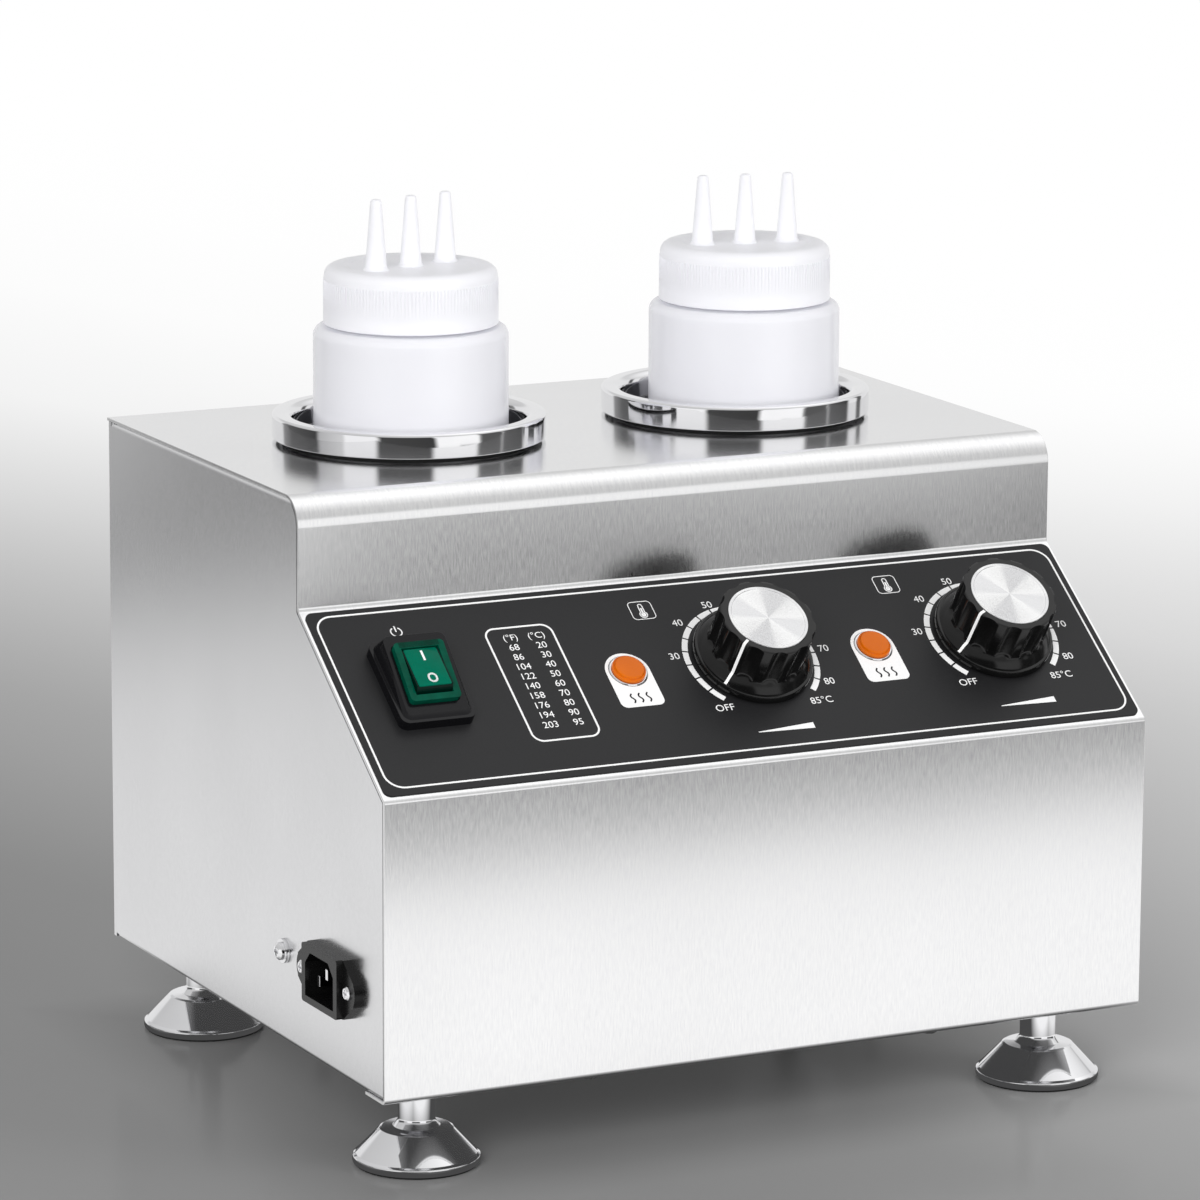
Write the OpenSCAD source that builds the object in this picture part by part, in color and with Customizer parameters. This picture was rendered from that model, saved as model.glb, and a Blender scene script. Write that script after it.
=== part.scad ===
/* [Body] */
// Width of the cabinet
body_w = 310; // [290:1:360]
// Depth of the cabinet at its base
body_d = 257; // [245:1:300]
// Height of the cabinet without its feet
body_h = 205.5; // [195:0.5:240]
// How far the upper front stands behind the lower front
setback = 74.5; // [66:0.5:82]
// Height of the lower edge of the control slope
slope_low = 110.5; // [100:0.5:118]
// Height of the upper edge of the control slope
slope_high = 164.5; // [158:0.5:176]
// Outside radius of the bend between top and upper front
top_bend_r = 11; // [6:0.5:14]
// Outside radius of the bends at the slope and the base
fold_r = 2.2; // [1.6:0.1:3]
// Thickness of the cover sheet
cover_t = 1.2; // [0.8:0.1:1.5]
// Length of the cover's flange under the body
toe_flange = 17; // [14:0.5:20]
// Thickness of the side and rear sheet
shell_t = 1; // [0.8:0.1:1.5]
// Outside radius of the bends of the side and rear sheet
shell_bend_r = 2; // [1.6:0.1:3]
// Width of the inward flanges of the side and rear sheet
shell_flange = 13; // [11:0.5:15]
// Thickness of the base plate
base_t = 1.2; // [0.8:0.1:1.5]

/* [Feet] */
// Height of the cabinet above the counter
foot_h = 32; // [28:0.5:40]
// Radius of the foot's rim
foot_r = 23.2; // [20:0.2:26]
// Radius of the foot's flat shoulder
foot_shoulder_r = 13.2; // [11:0.2:15]
// Radius of the foot's stem
foot_stem_r = 6.7; // [6:0.1:8]
// Distance from a foot's axis to the side of the cabinet
foot_side = 26; // [25:0.5:34]
// Distance from a front foot's axis to the front
foot_front = 30; // [27:0.5:36]
// Distance from a rear foot's axis to the rear
foot_rear = 29; // [27:0.5:36]
// Radius of the foot's threaded stud
stud_r = 4; // [3:0.5:5]

/* [Wells and collars] */
// Distance from one well's axis to the next
well_pitch = 138; // [128:1:150]
// Distance from the front of the cabinet to the well axes
well_y = 167; // [160:0.5:178]
// Inside radius of a well
well_r = 43; // [40:0.5:46]
// Thickness of a well's wall
well_t = 1; // [0.8:0.1:1.5]
// Height of the well's floor above the base of the cabinet
well_floor = 57; // [50:0.5:64]
// How far a collar reaches out beyond its well
collar_out = 8.6; // [7:0.1:11]
// Height of a collar
collar_h = 9.2; // [7:0.1:12]
// Height of the heater band round a well
heater_h = 50; // [40:1:55]
// Thickness of the heater band
heater_t = 2.4; // [1.6:0.1:3]

/* [Bottles] */
// Room between a bottle and the wall of its well
bottle_play = 6.3; // [6:0.1:8]
// Wall thickness of a bottle
bottle_t = 1.4; // [1:0.1:2]
// Height of a bottle up to its shoulder
shoulder_h = 192; // [184:0.5:196]
// How far a cap reaches out beyond the bottle's neck
cap_out = 4; // [3.4:0.1:4.8]
// Height of a cap without its nozzles
cap_h = 21.9; // [19:0.1:22.4]
// Height of a nozzle
nozzle_h = 27; // [22:0.5:32]
// Radius of a nozzle at its foot
nozzle_foot_r = 4; // [3:0.1:5]
// Radius of a nozzle at its tip
nozzle_tip_r = 2.1; // [1.6:0.1:2.6]
// Distance between two nozzles
nozzle_pitch = 17; // [13:0.5:19]
// Rise of the cap in one turn
thread_lead = 4.2; // [3.6:0.1:5]

/* [Controls] */
// Distance from the left side to the first knob's axis
knob_x = 164.6; // [160:0.1:170]
// Distance from the first knob to the second
knob_pitch = 101.1; // [98:0.1:104]
// Distance of the knobs up the slope
knob_u = 47.9; // [44:0.1:52]
// Height of a knob
knob_h = 22.2; // [20:0.1:28]
// Radius of the knob's skirt
skirt_r = 22.8; // [20.4:0.1:23.4]
// Radius of the knob's fluted grip
grip_r = 18.5; // [17:0.1:19.6]
// Radius of the knob's bright disc
disc_r = 15.2; // [13:0.1:15.6]
// Number of flutes in a knob
flutes = 12; // [8:1:16]
// Distance from the left side to the first lamp's axis
lamp_x = 114.3; // [112:0.1:118]
// Distance from the first lamp to the second
lamp_pitch = 101.1; // [98:0.1:106]
// Distance of the lamps up the slope
lamp_u = 47.9; // [44:0.1:52]
// Radius of a lamp's lens
lens_r = 6.4; // [5.6:0.1:7]
// Distance from the left side to the switch's axis
switch_x = 32.3; // [28:0.1:38]
// Distance of the switch's base up the slope
switch_u = 50.5; // [47:0.1:54]
// Width of the switch's base
switch_w = 29.2; // [28:0.1:32]
// Length of the switch's base
switch_l = 39; // [36:0.1:42]

/* [Power inlet] */
// Distance from the front to the inlet's axis
inlet_y = 45; // [42:0.5:60]
// Height of the inlet's axis above the base of the cabinet
inlet_z = 35.5; // [30:0.5:40]
// How far the inlet's block stands out of the side
inlet_out = 5.5; // [4.5:0.1:8]
// Width of the inlet's block
inlet_w = 31; // [28:0.1:32]
// Height of the inlet's block
inlet_h = 21.8; // [20:0.1:24]
// Distance between the inlet's screws
inlet_screw_pitch = 40; // [38:0.5:44]
// Distance from the front to the earth screw
earth_y = 88.5; // [84:0.5:96]

/* [Hidden] */
$fn = 64;

// One overrun serves every cut
over = 0.5;
// Gap between the cover and the edges of the sheet that it hides
seam = 0.3;
// Gap between a fastener's shank and its hole
hole_gap = 0.15;
// Gap between a turning shaft and its bore
run_gap = 0.05;
// Gap between pieces that are fitted by hand
fit_gap = 0.2;
// Gap between a moving piece and what it passes
move_gap = 0.3;

// Sizes that follow from the cabinet
body_x = inlet_out / 2;
front = -body_d / 2;
half_w = body_w / 2;
rise = slope_high - slope_low;
slope_a = atan2(rise, setback);
slope_l = norm([setback, rise]);
roof = body_h - cover_t;
back_off = cover_t + seam;

// Side and rear sheet
corner_relief = 4;
shell_low = base_t;

// Base plate and its screws
base_inset = 4;
lip_back = 6;
lip_over = 3;
screw_r = 1.9;
screw_head_r = 3.6;
screw_head_h = 2.2;
screw_len = 8;
screw_edge = 9;
base_screw_x = 70;
base_screw_y = [60, 190];
drive_r = 1.5;
drive_h = 1.3;

// Foot: heights of the profile above the counter, and its radii
pad_h = 1.6;
pad_r = 22.3;
pad_recess = 0.8;
rim_h = 4.2;
rim_round = 1.2;
cone_top = 13.5;
shoulder_top = 14;
flare_r = 8.3;
flare_round = 2.4;
stud_len = 18;
nut_r = 8.5;
nut_h = 7;

// Overlay and print
overlay_t = 0.5;
overlay_side = 1.3;
overlay_low = 2.2;
overlay_high = 90.2;
overlay_corner = 3;
print_t = 0.12;
border_side = 3.6;
border_low = 4.9;
border_high = 87.9;
border_corner = 7;
line_w = 0.7;
table_x = 79.4;
table_w = 27.2;
table_low = 19.2;
table_high = 74.6;
table_corner = 4.5;
dial_in = 24.2;
dial_out = 26.4;
dial_blocks = 18;
dial_sweep = 270;
dial_start = -135;
dial_gap = 1.6;
plate_r = 8.75;
plate_low = 30.8;
plate_corner = 2.6;

// Switch
tier_h = 4.5;
tier_corner = 3.2;
tier_inset = 1.2;
face_w = 24.2;
face_l = 33;
face_u = 50;
face_h = 8.5;
face_tilt = 10.5;
face_corner = 2.6;
pocket_w = 14.6;
pocket_l = 19.5;
frame_wall = 2.5;
frame_up = 2.2;
frame_down = 3;
frame_corner = 1.6;
rocker_gap = 0.3;
rocker_up = 4.4;
rocker_pivot = 1.4;
rocker_under = 4.5;
rocker_tilt = 10;
switch_hole_w = 22;
switch_hole_l = 29;
switch_deep = 27;
tab_w = 4.8;
tab_t = 0.8;
tab_l = 8;
tab_pitch_x = 10;
tab_pitch_y = 7;

// Lamps
lamp_hole_r = 5.2;
lamp_ring_r = 7.3;
lamp_ring_h = 0.6;
lens_h = 2.1;
lens_round = 0.7;
lens_stem_r = 3.8;
lamp_body_r = 5;
lamp_deep = 26;
lamp_nut_r = 7.5;
lamp_nut_h = 4;
lead_r = 0.8;
lead_l = 6;
lead_pitch = 4;

// Knobs
knob_gap = 0.6;
skirt_top = 4;
skirt_step = 1.1;
skirt_slope_top = 6.5;
grip_bevel = 0.5;
grip_draft = 0.2;
knob_wall = 2.4;
hub_r = 5.6;
disc_t = 0.8;
disc_sink = 0.3;
flute_r = 6;
flute_depth = 1.2;
pointer_w = 1.2;
pointer_t = 0.25;
pointer_1_a = -142;
pointer_2_a = -153;
skirt_hollow_h = 3.2;

// Thermostats
shaft_r = 3;
shaft_flat = 1;
shaft_top = 17;
shaft_in = 12;
bush_r = 4.6;
bush_out = 1.5;
thermo_w = 36;
thermo_l = 36;
thermo_h = 24;
thermo_plate_t = 1.5;
thermo_plate_l = 42;
thermo_screw_pitch = 28;
thermo_screw_r = 1.9;
thermo_screw_len = 7;
bulb_r = 3;
bulb_l = 52;
bulb_wall = 1;
bulb_top = 190;
bulb_pocket_l = 36;
capillary_r = 0.8;

// Wells and collars
gasket_t = 0.7;
gasket_out = 4.5;
well_flange_out = 4;
well_flange_t = 0.8;
throat_step = 0.6;
collar_wall = 1.6;
throat_round = 3.2;
collar_round = 1;
heater_low = 12;
heater_gap = 0.1;
heater_split = 9;
ear_l = 11;
ear_t = 1.6;
clamp_r = 2;
clamp_head_r = 3.5;
clamp_head_h = 2.8;
heater_lead_l = 8;
heater_lead_r = 2;

// Bottles
bottle_shift = [0.8, 3.7];
bottle_turn = [16, -10];
foot_round = 4;
shoulder_round = 5;
neck_in = 8.1;
neck_h = 19.5;
neck_t = 1.6;
thread_out = 1.3;
thread_w = 1.7;
thread_turns = 1.5;
thread_sink = 0.3;
thread_low = 5.2;
thread_steps = 12;
thread_overlap_share = 1.1;
cap_draft = 0.4;
cap_wall = 1.5;
cap_round = 3.5;
cap_dish = 0.6;
cap_dish_in = 7.6;
seal_t = 1.2;
seal_w = 5.25;
nozzle_bore_foot = 2.8;
nozzle_bore_tip = 1.2;

// Inlet
flange_t = 3;
ear_r = 7.2;
recess_w = 24.8;
recess_h = 16.6;
recess_deep = 17;
recess_cut = 4.4;
inlet_back = 19;
inlet_rear_w = 26.4;
inlet_rear_h = 19.4;
inlet_wall_gap = 0.4;
inlet_round = 1.2;
pin_w = 4;
pin_t = 2;
pin_short = 1.5;
pin_pitch = 14;
pin_up = 4;
pin_down = 2.2;
inlet_tab_l = 9;
inlet_screw_r = 1.4;
inlet_screw_head_r = 2.6;
inlet_screw_head_h = 1.3;
inlet_screw_len = 12;
inlet_nut_r = 3.2;
inlet_nut_h = 2.4;

// Earth screw
earth_z = 35.5;
earth_r = 1.9;
earth_head_r = 3.3;
earth_head_h = 2.2;
earth_washer_r = 4.6;
earth_washer_t = 1.3;
earth_len = 12;
earth_nut_r = 4;
earth_nut_h = 3;

// Terminal block and wires
block_side = 60;
block_back = 29.5;
block_w = 44;
block_l = 20;
block_h = 13;
block_ways = 4;
block_step = 10.5;
way_r = 2;
way_head_r = 2.4;
wire_r = 1.1;

// Well axes, knob axes and lamp axes in the cabinet's own frame
well_xs = [-well_pitch / 2, well_pitch / 2];
knob_xs = [knob_x - half_w, knob_x + knob_pitch - half_w];
lamp_xs = [lamp_x - half_w, lamp_x + lamp_pitch - half_w];
switch_cx = switch_x - half_w;
foot_xs = [-half_w + foot_side, half_w - foot_side, -half_w + foot_side, half_w - foot_side];
foot_ys = [foot_front, foot_front, body_d - foot_rear, body_d - foot_rear];

// Radii that follow from a well's
collar_r = well_r + collar_out;
throat_r = well_r + throat_step;
gasket_r = well_r + gasket_out;
well_flange_r = well_r + well_flange_out;
bottle_r = well_r - bottle_play;
neck_r = bottle_r - neck_in;
cap_r = neck_r + cap_out;
cap_dish_r = cap_r - cap_dish_in;
seal_r = neck_r + thread_out / 2;

// Middle of the terminal block: in from the left side, and in front of the wells
block_x = -half_w + block_side;
block_y = well_y - well_r - block_back;

// Heights of the stack on the roof
gasket_z = body_h;
flange_z = gasket_z + gasket_t;
collar_z = flange_z + well_flange_t;

// Heights in a bottle, above its foot
neck_z = shoulder_h;
rim_z = neck_z + neck_h;
seal_z = rim_z;
cap_top = rim_z + seal_t + cap_wall + cap_dish;
cap_z = cap_top - cap_h;

// Cabinet frame: X from the middle, Y back from the front face, Z up from the base
module in_body() {
    translate([body_x, front, foot_h]) children();
}

// Slope frame: X as the cabinet's, Y up the slope, Z out of its face
module on_slope(x, u, h = 0) {
    translate([x, 0, slope_low]) rotate([slope_a, 0, 0]) translate([0, u, h]) children();
}

// A point of the slope frame in the cabinet frame
function slope_point(x, u, h) =
    [x, u * cos(slope_a) - h * sin(slope_a), slope_low + u * sin(slope_a) + h * cos(slope_a)];

// Extrudes an outline drawn in Y and Z along X, from x over a width
module along_x(x, width) {
    translate([x, 0, 0]) rotate([90, 0, 90]) linear_extrude(width) children();
}

// Extrudes an outline drawn in X and Z along Y, from y over a depth
module along_y(y, depth) {
    translate([0, y + depth, 0]) rotate([90, 0, 0]) linear_extrude(depth) children();
}

// A flat shape with round corners, centred
module round_rect(w, l, r) {
    square([w - 2 * r, l], center = true);
    square([w, l - 2 * r], center = true);
    for (x = [-1, 1], y = [-1, 1])
        translate([x * (w / 2 - r), y * (l / 2 - r)]) circle(r);
}

// A line of even width round a flat shape with round corners
module round_frame(w, l, r, line) {
    difference() {
        round_rect(w, l, r);
        round_rect(w - 2 * line, l - 2 * line, r - line);
    }
}

// Headings, turns and legs of a bent strip
function heading(a, b) = (b - a) / norm(b - a);
function left_of(u) = [-u[1], u[0]];
function turn_of(u, v) = atan2(cross(u, v), u * v);
function leg_cut(r, turn) = r * tan(abs(turn) / 2);

// Outline of a bent sheet: the points are its outside corners, and the sheet lies on their left
module bent_strip(points, radii, t) {
    last = len(points) - 1;
    heads = [for (i = [0:last - 1]) heading(points[i], points[i + 1])];
    bends = [for (i = [1:last - 1]) each bend_pairs(
        points[i], heads[i - 1], turn_of(heads[i - 1], heads[i]), radii[i - 1], t)];
    pairs = concat(
        [[points[0], points[0] + left_of(heads[0]) * t]], bends,
        [[points[last], points[last] + left_of(heads[last - 1]) * t]]);
    polygon(concat(
        [for (p = pairs) p[0]],
        [for (k = [len(pairs) - 1:-1:0]) pairs[k][1]]));
}

// Points of a bend on both faces of the sheet
function bend_pairs(corner, head, turn, r, t) =
    let (side = sign(turn), start = corner - head * leg_cut(r, turn),
         c = start + left_of(head) * side * r, arm = start - c, a = atan2(arm[1], arm[0]))
    [for (k = [0:bend_steps]) let (b = a + turn * k / bend_steps, d = [cos(b), sin(b)])
        [c + r * d, c + (r - side * t) * d]];
bend_steps = 8;

// A pan head on top of its seat, with a cross recess, and a shank below it
module pan_screw(r, shank, head_r, head_h) {
    dome = head_h / 2;
    translate([0, 0, -shank]) cylinder(r = r, h = shank);
    difference() {
        union() {
            cylinder(r = head_r, h = head_h - dome);
            translate([0, 0, head_h - dome]) cylinder(r1 = head_r, r2 = head_r - dome, h = dome);
        }
        for (a = [0, 90])
            rotate(a) translate([0, 0, head_h]) cube([head_r * cross_share, r / 2, head_h], center = true);
    }
}
cross_share = 1.1;

// Round wire along straight runs
module wire_run(points, r) {
    for (i = [0:len(points) - 2]) {
        a = points[i];
        d = points[i + 1] - a;
        l = norm(d);
        translate(a) rotate([0, acos(d[2] / l), atan2(d[1], d[0])]) cylinder(r = r, h = l, $fn = 24);
        if (i > 0) translate(a) sphere(r * wire_bend_share, $fn = 24);
    }
}
wire_bend_share = 1.15;

// Outside corners of the cover, from its rear edge over the roof and the front to the toe flange
cover_line = [
    [body_d, body_h], [setback, body_h], [setback, slope_high],
    [0, slope_low], [0, 0], [toe_flange, 0]
];
cover_radii = [top_bend_r, fold_r, fold_r, fold_r];

// Height of the slope's back, d behind its face, at a distance y from the front
function slope_back(y, d) = slope_low - d / cos(slope_a) + y * tan(slope_a);

// Region inside the cover, d behind its faces, above height low and up to height high
module inside_outline(d, low, high, rear) {
    r = top_bend_r - d;
    y = setback + d;
    difference() {
        polygon([
            [d, low], [d, slope_back(d, d)], [y, slope_back(y, d)],
            [y, high], [rear, high], [rear, low]
        ]);
        difference() {
            translate([y - over, body_h - d - r]) square([r + over, r + over]);
            translate([y + r, body_h - d - r]) circle(r);
        }
    }
}

module front_top_cover() {
    color("lightgray") in_body() difference() {
        along_x(-half_w, body_w) bent_strip(cover_line, cover_radii, cover_t);
        for (x = well_xs)
            translate([x, well_y, roof - over]) cylinder(r = well_r + well_t + fit_gap, h = cover_t + 2 * over);
        panel_holes(-cover_t);
        for (x = [-base_screw_x, base_screw_x])
            translate([x, screw_edge, -over]) cylinder(r = screw_r + hole_gap, h = cover_t + 2 * over);
    }
}

// Holes through the slope for the controls, from a depth up through the overlay
module panel_holes(low) {
    h = overlay_t - low + 2 * over;
    on_slope(switch_cx, switch_u, low - over)
        translate([-switch_hole_w / 2, -switch_hole_l / 2, 0]) cube([switch_hole_w, switch_hole_l, h]);
    for (x = lamp_xs)
        on_slope(x, lamp_u, low - over) cylinder(r = lamp_hole_r, h = h);
    for (x = knob_xs) {
        on_slope(x, knob_u, low - over) cylinder(r = bush_r + fit_gap, h = h);
        for (s = [-1, 1])
            on_slope(x + s * thermo_screw_pitch / 2, knob_u, low - over)
                cylinder(r = thermo_screw_r + hole_gap, h = h);
    }
}

// Wall with a flange at its top and its foot, in the plane across it, seen from its left end
function wall_line(face, inward) = [
    [face + inward * shell_flange, roof], [face, roof],
    [face, shell_low], [face + inward * shell_flange, shell_low]
];
shell_radii = [shell_bend_r, shell_bend_r];

module side_wall() {
    intersection() {
        along_y(0, body_d - corner_relief) bent_strip(wall_line(-half_w, 1), shell_radii, shell_t);
        along_x(-half_w - over, shell_flange + 2 * over)
            inside_outline(back_off, shell_low, roof, body_d);
    }
}

module side_rear_shell() {
    plan = [[half_w, 0], [half_w, body_d], [-half_w, body_d], [-half_w, 0]];
    color("silver") in_body() difference() {
        union() {
            side_wall();
            mirror([1, 0, 0]) side_wall();
            along_x(-half_w + corner_relief, body_w - 2 * corner_relief)
                mirror([1, 0]) translate([-body_d, 0])
                    bent_strip(wall_line(0, 1), shell_radii, shell_t);
            intersection() {
                translate([0, 0, shell_low]) linear_extrude(roof - shell_low)
                    bent_strip(plan, shell_radii, shell_t);
                for (s = [-1, 1])
                    translate([s * half_w, body_d, shell_low + (roof - shell_low) / 2])
                        cube([2 * corner_relief, 2 * corner_relief, roof], center = true);
            }
        }
        inlet_hole();
        translate([-half_w - over, earth_y, earth_z]) rotate([0, 90, 0])
            cylinder(r = earth_r + hole_gap, h = shell_t + 2 * over);
        for (s = [-1, 1], y = base_screw_y)
            translate([s * (half_w - screw_edge), y, shell_low - over])
                cylinder(r = screw_r + hole_gap, h = shell_t + 2 * over);
        for (s = [-1, 1])
            translate([s * base_screw_x, body_d - screw_edge, shell_low - over])
                cylinder(r = screw_r + hole_gap, h = shell_t + 2 * over);
    }
}

module base_plate() {
    step = toe_flange + seam;
    plate_w = body_w - 2 * base_inset;
    lip_w = body_w - 2 * (shell_flange + corner_relief);
    color("gray") in_body() difference() {
        union() {
            translate([-plate_w / 2, step, 0]) cube([plate_w, body_d - base_inset - step, base_t]);
            translate([-lip_w / 2, step, 0]) cube([lip_w, base_t, cover_t + base_t]);
            translate([-lip_w / 2, lip_back, cover_t]) cube([lip_w, step + lip_over - lip_back, base_t]);
        }
        for (p = base_screw_places())
            translate([p[0], p[1], -over]) cylinder(r = screw_r + hole_gap, h = cover_t + base_t + 2 * over);
        for (i = [0:3])
            translate([foot_xs[i], foot_ys[i], -over]) cylinder(r = stud_r + move_gap, h = base_t + 2 * over);
    }
}

// Places of the screws that hold the base plate
function base_screw_places() = [
    for (s = [-1, 1]) each [
        [s * base_screw_x, screw_edge],
        [s * (half_w - screw_edge), base_screw_y[0]],
        [s * (half_w - screw_edge), base_screw_y[1]],
        [s * base_screw_x, body_d - screw_edge]
    ]
];

module base_screws() {
    color("silver") in_body() for (p = base_screw_places())
        translate([p[0], p[1], 0]) rotate([180, 0, 0])
            pan_screw(screw_r, screw_len, screw_head_r, screw_head_h);
}

module control_overlay() {
    l = overlay_high - overlay_low;
    color("#202022") in_body() difference() {
        on_slope(0, overlay_low + l / 2)
            linear_extrude(overlay_t) round_rect(body_w - 2 * overlay_side, l, overlay_corner);
        panel_holes(0);
    }
}

// White lines and fields printed on the overlay
module panel_print() {
    border_l = border_high - border_low;
    table_l = table_high - table_low;
    color("white") in_body() {
        on_slope(0, border_low + border_l / 2, overlay_t) linear_extrude(print_t)
            round_frame(body_w - 2 * border_side, border_l, border_corner, line_w);
        on_slope(table_x - half_w, table_low + table_l / 2, overlay_t) linear_extrude(print_t)
            round_frame(table_w, table_l, table_corner, line_w);
        for (x = knob_xs) on_slope(x, knob_u, overlay_t) linear_extrude(print_t) dial_print();
        for (x = lamp_xs) on_slope(x, lamp_u, overlay_t) linear_extrude(print_t) lamp_plate();
    }
}

// Blocks of a dial, from the off mark round to the highest mark
module dial_print() {
    step = dial_sweep / dial_blocks;
    for (i = [0:dial_blocks - 1]) {
        a = dial_start - i * step - dial_gap / 2;
        b = a - step + dial_gap;
        far = 2 * dial_out;
        intersection() {
            difference() {
                circle(dial_out);
                circle(dial_in);
            }
            polygon([[0, 0], far * [cos(a), sin(a)], far * [cos(b), sin(b)]]);
        }
    }
}

// White field round a lamp, with a round head and a square foot
module lamp_plate() {
    foot = lamp_u - plate_low;
    difference() {
        union() {
            circle(plate_r);
            translate([-plate_r, -foot + plate_corner]) square([2 * plate_r, foot - plate_corner]);
            translate([-plate_r + plate_corner, -foot]) square([2 * (plate_r - plate_corner), foot]);
            for (s = [-1, 1])
                translate([s * (plate_r - plate_corner), -foot + plate_corner]) circle(plate_corner);
        }
        circle(lamp_ring_r + fit_gap);
    }
}

// Frame of the switch's tilted face: origin at its middle, Z out of the face
module on_face(h = 0) {
    on_slope(switch_cx, face_u, face_h) rotate([face_tilt, 0, 0]) translate([0, 0, h]) children();
}

module switch_bezel() {
    color("#151515") in_body() difference() {
        union() {
            on_slope(switch_cx, switch_u, overlay_t)
                linear_extrude(tier_h - overlay_t) round_rect(switch_w, switch_l, tier_corner);
            hull() {
                on_slope(switch_cx, switch_u, tier_h - overlay_t) linear_extrude(overlay_t)
                    round_rect(switch_w - 2 * tier_inset, switch_l - 2 * tier_inset, tier_corner, $fn = 32);
                on_face(-overlay_t) linear_extrude(overlay_t)
                    round_rect(face_w, face_l, face_corner, $fn = 32);
            }
        }
        on_face(-face_l) linear_extrude(2 * face_l)
            round_rect(frame_outer_w() + 2 * fit_gap, frame_outer_l() + 2 * fit_gap, frame_corner + fit_gap);
    }
}

function frame_outer_w() = pocket_w + 2 * frame_wall;
function frame_outer_l() = pocket_l + 2 * frame_wall;

module switch_frame() {
    color("#0a7a50") in_body() on_face(-frame_down) difference() {
        linear_extrude(frame_down + frame_up)
            round_rect(frame_outer_w(), frame_outer_l(), frame_corner);
        translate([0, 0, -over]) linear_extrude(frame_down + frame_up + 2 * over)
            square([pocket_w, pocket_l], center = true);
        translate([-frame_outer_w(), 0, frame_down - rocker_pivot]) rotate([0, 90, 0])
            cylinder(r = rocker_pin_r + run_gap, h = 2 * frame_outer_w(), $fn = 32);
    }
}
rocker_pin_r = 1.25;

module switch_rocker() {
    w = pocket_w - 2 * rocker_gap;
    r = pocket_l / 2 - rocker_gap;
    color("#0b8a58") in_body() on_face(-rocker_pivot) rotate([-rocker_tilt, 0, 0]) {
        intersection() {
            translate([-w / 2, 0, 0]) rotate([0, 90, 0]) cylinder(r = r, h = w);
            translate([-w / 2, -r, -rocker_under]) cube([w, 2 * r, rocker_up + rocker_under]);
        }
        translate([-w / 2 - frame_wall / 2, 0, 0]) rotate([0, 90, 0])
            cylinder(r = rocker_pin_r, h = w + frame_wall, $fn = 32);
    }
}

module switch_body() {
    w = switch_hole_w - 2 * fit_gap;
    l = switch_hole_l - 2 * fit_gap;
    top = tier_h - switch_base_gap;
    color("#1b1b1b") in_body() on_slope(switch_cx, switch_u) difference() {
        union() {
            translate([-w / 2, -l / 2, -switch_deep]) cube([w, l, switch_deep + overlay_t]);
            for (s = [-1, 1])
                translate([s * (w / 2 + latch_t / 2), 0, -cover_t - latch_h / 2 - fit_gap])
                    cube([latch_t, l / 2, latch_h], center = true);
        }
        translate([-w / 2 + latch_t, -l / 2 + latch_t, -switch_deep + latch_h])
            cube([w - 2 * latch_t, l - 2 * latch_t, switch_deep + top]);
    }
}
switch_base_gap = 0.3;
latch_t = 1.4;
latch_h = 5;

module switch_terminals() {
    color("#c8a046") in_body() on_slope(switch_cx, switch_u, -switch_deep)
        for (x = [-1, 1], y = [-1, 1])
            translate([x * tab_pitch_x / 2, y * tab_pitch_y, -tab_l / 2])
                cube([tab_w, tab_t, tab_l], center = true);
}

module lamp_bezel(i) {
    color("gainsboro") in_body() on_slope(lamp_xs[i], lamp_u, overlay_t) difference() {
        cylinder(r = lamp_ring_r, h = lamp_ring_h);
        translate([0, 0, -over]) cylinder(r = lens_stem_r + fit_gap, h = lamp_ring_h + 2 * over);
    }
}

module lamp_lens(i) {
    color("#f07a14") in_body() on_slope(lamp_xs[i], lamp_u, overlay_t + lamp_ring_h) rotate_extrude() {
        square([lens_r, lens_h - lens_round]);
        square([lens_r - lens_round, lens_h]);
        translate([lens_r - lens_round, lens_h - lens_round]) circle(lens_round, $fn = 32);
        translate([0, -lamp_ring_h]) square([lens_stem_r, lamp_ring_h + over]);
    }
}

module lamp_holder(i) {
    color("#303030") in_body() on_slope(lamp_xs[i], lamp_u) {
        translate([0, 0, -lamp_deep]) cylinder(r = lamp_body_r, h = lamp_deep + overlay_t);
        translate([0, 0, -cover_t - lamp_nut_h]) cylinder(r = lamp_nut_r, h = lamp_nut_h, $fn = 6);
        for (s = [-1, 1])
            translate([s * lead_pitch / 2, 0, -lamp_deep - lead_l]) cylinder(r = lead_r, h = lead_l + over);
    }
}

// Places a knob's own frame on the overlay, turned so that its pointer lies along X
module on_knob(i) {
    in_body() on_slope(knob_xs[i], knob_u, overlay_t) rotate([pointer_1_a, pointer_2_a][i]) children();
}

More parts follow.
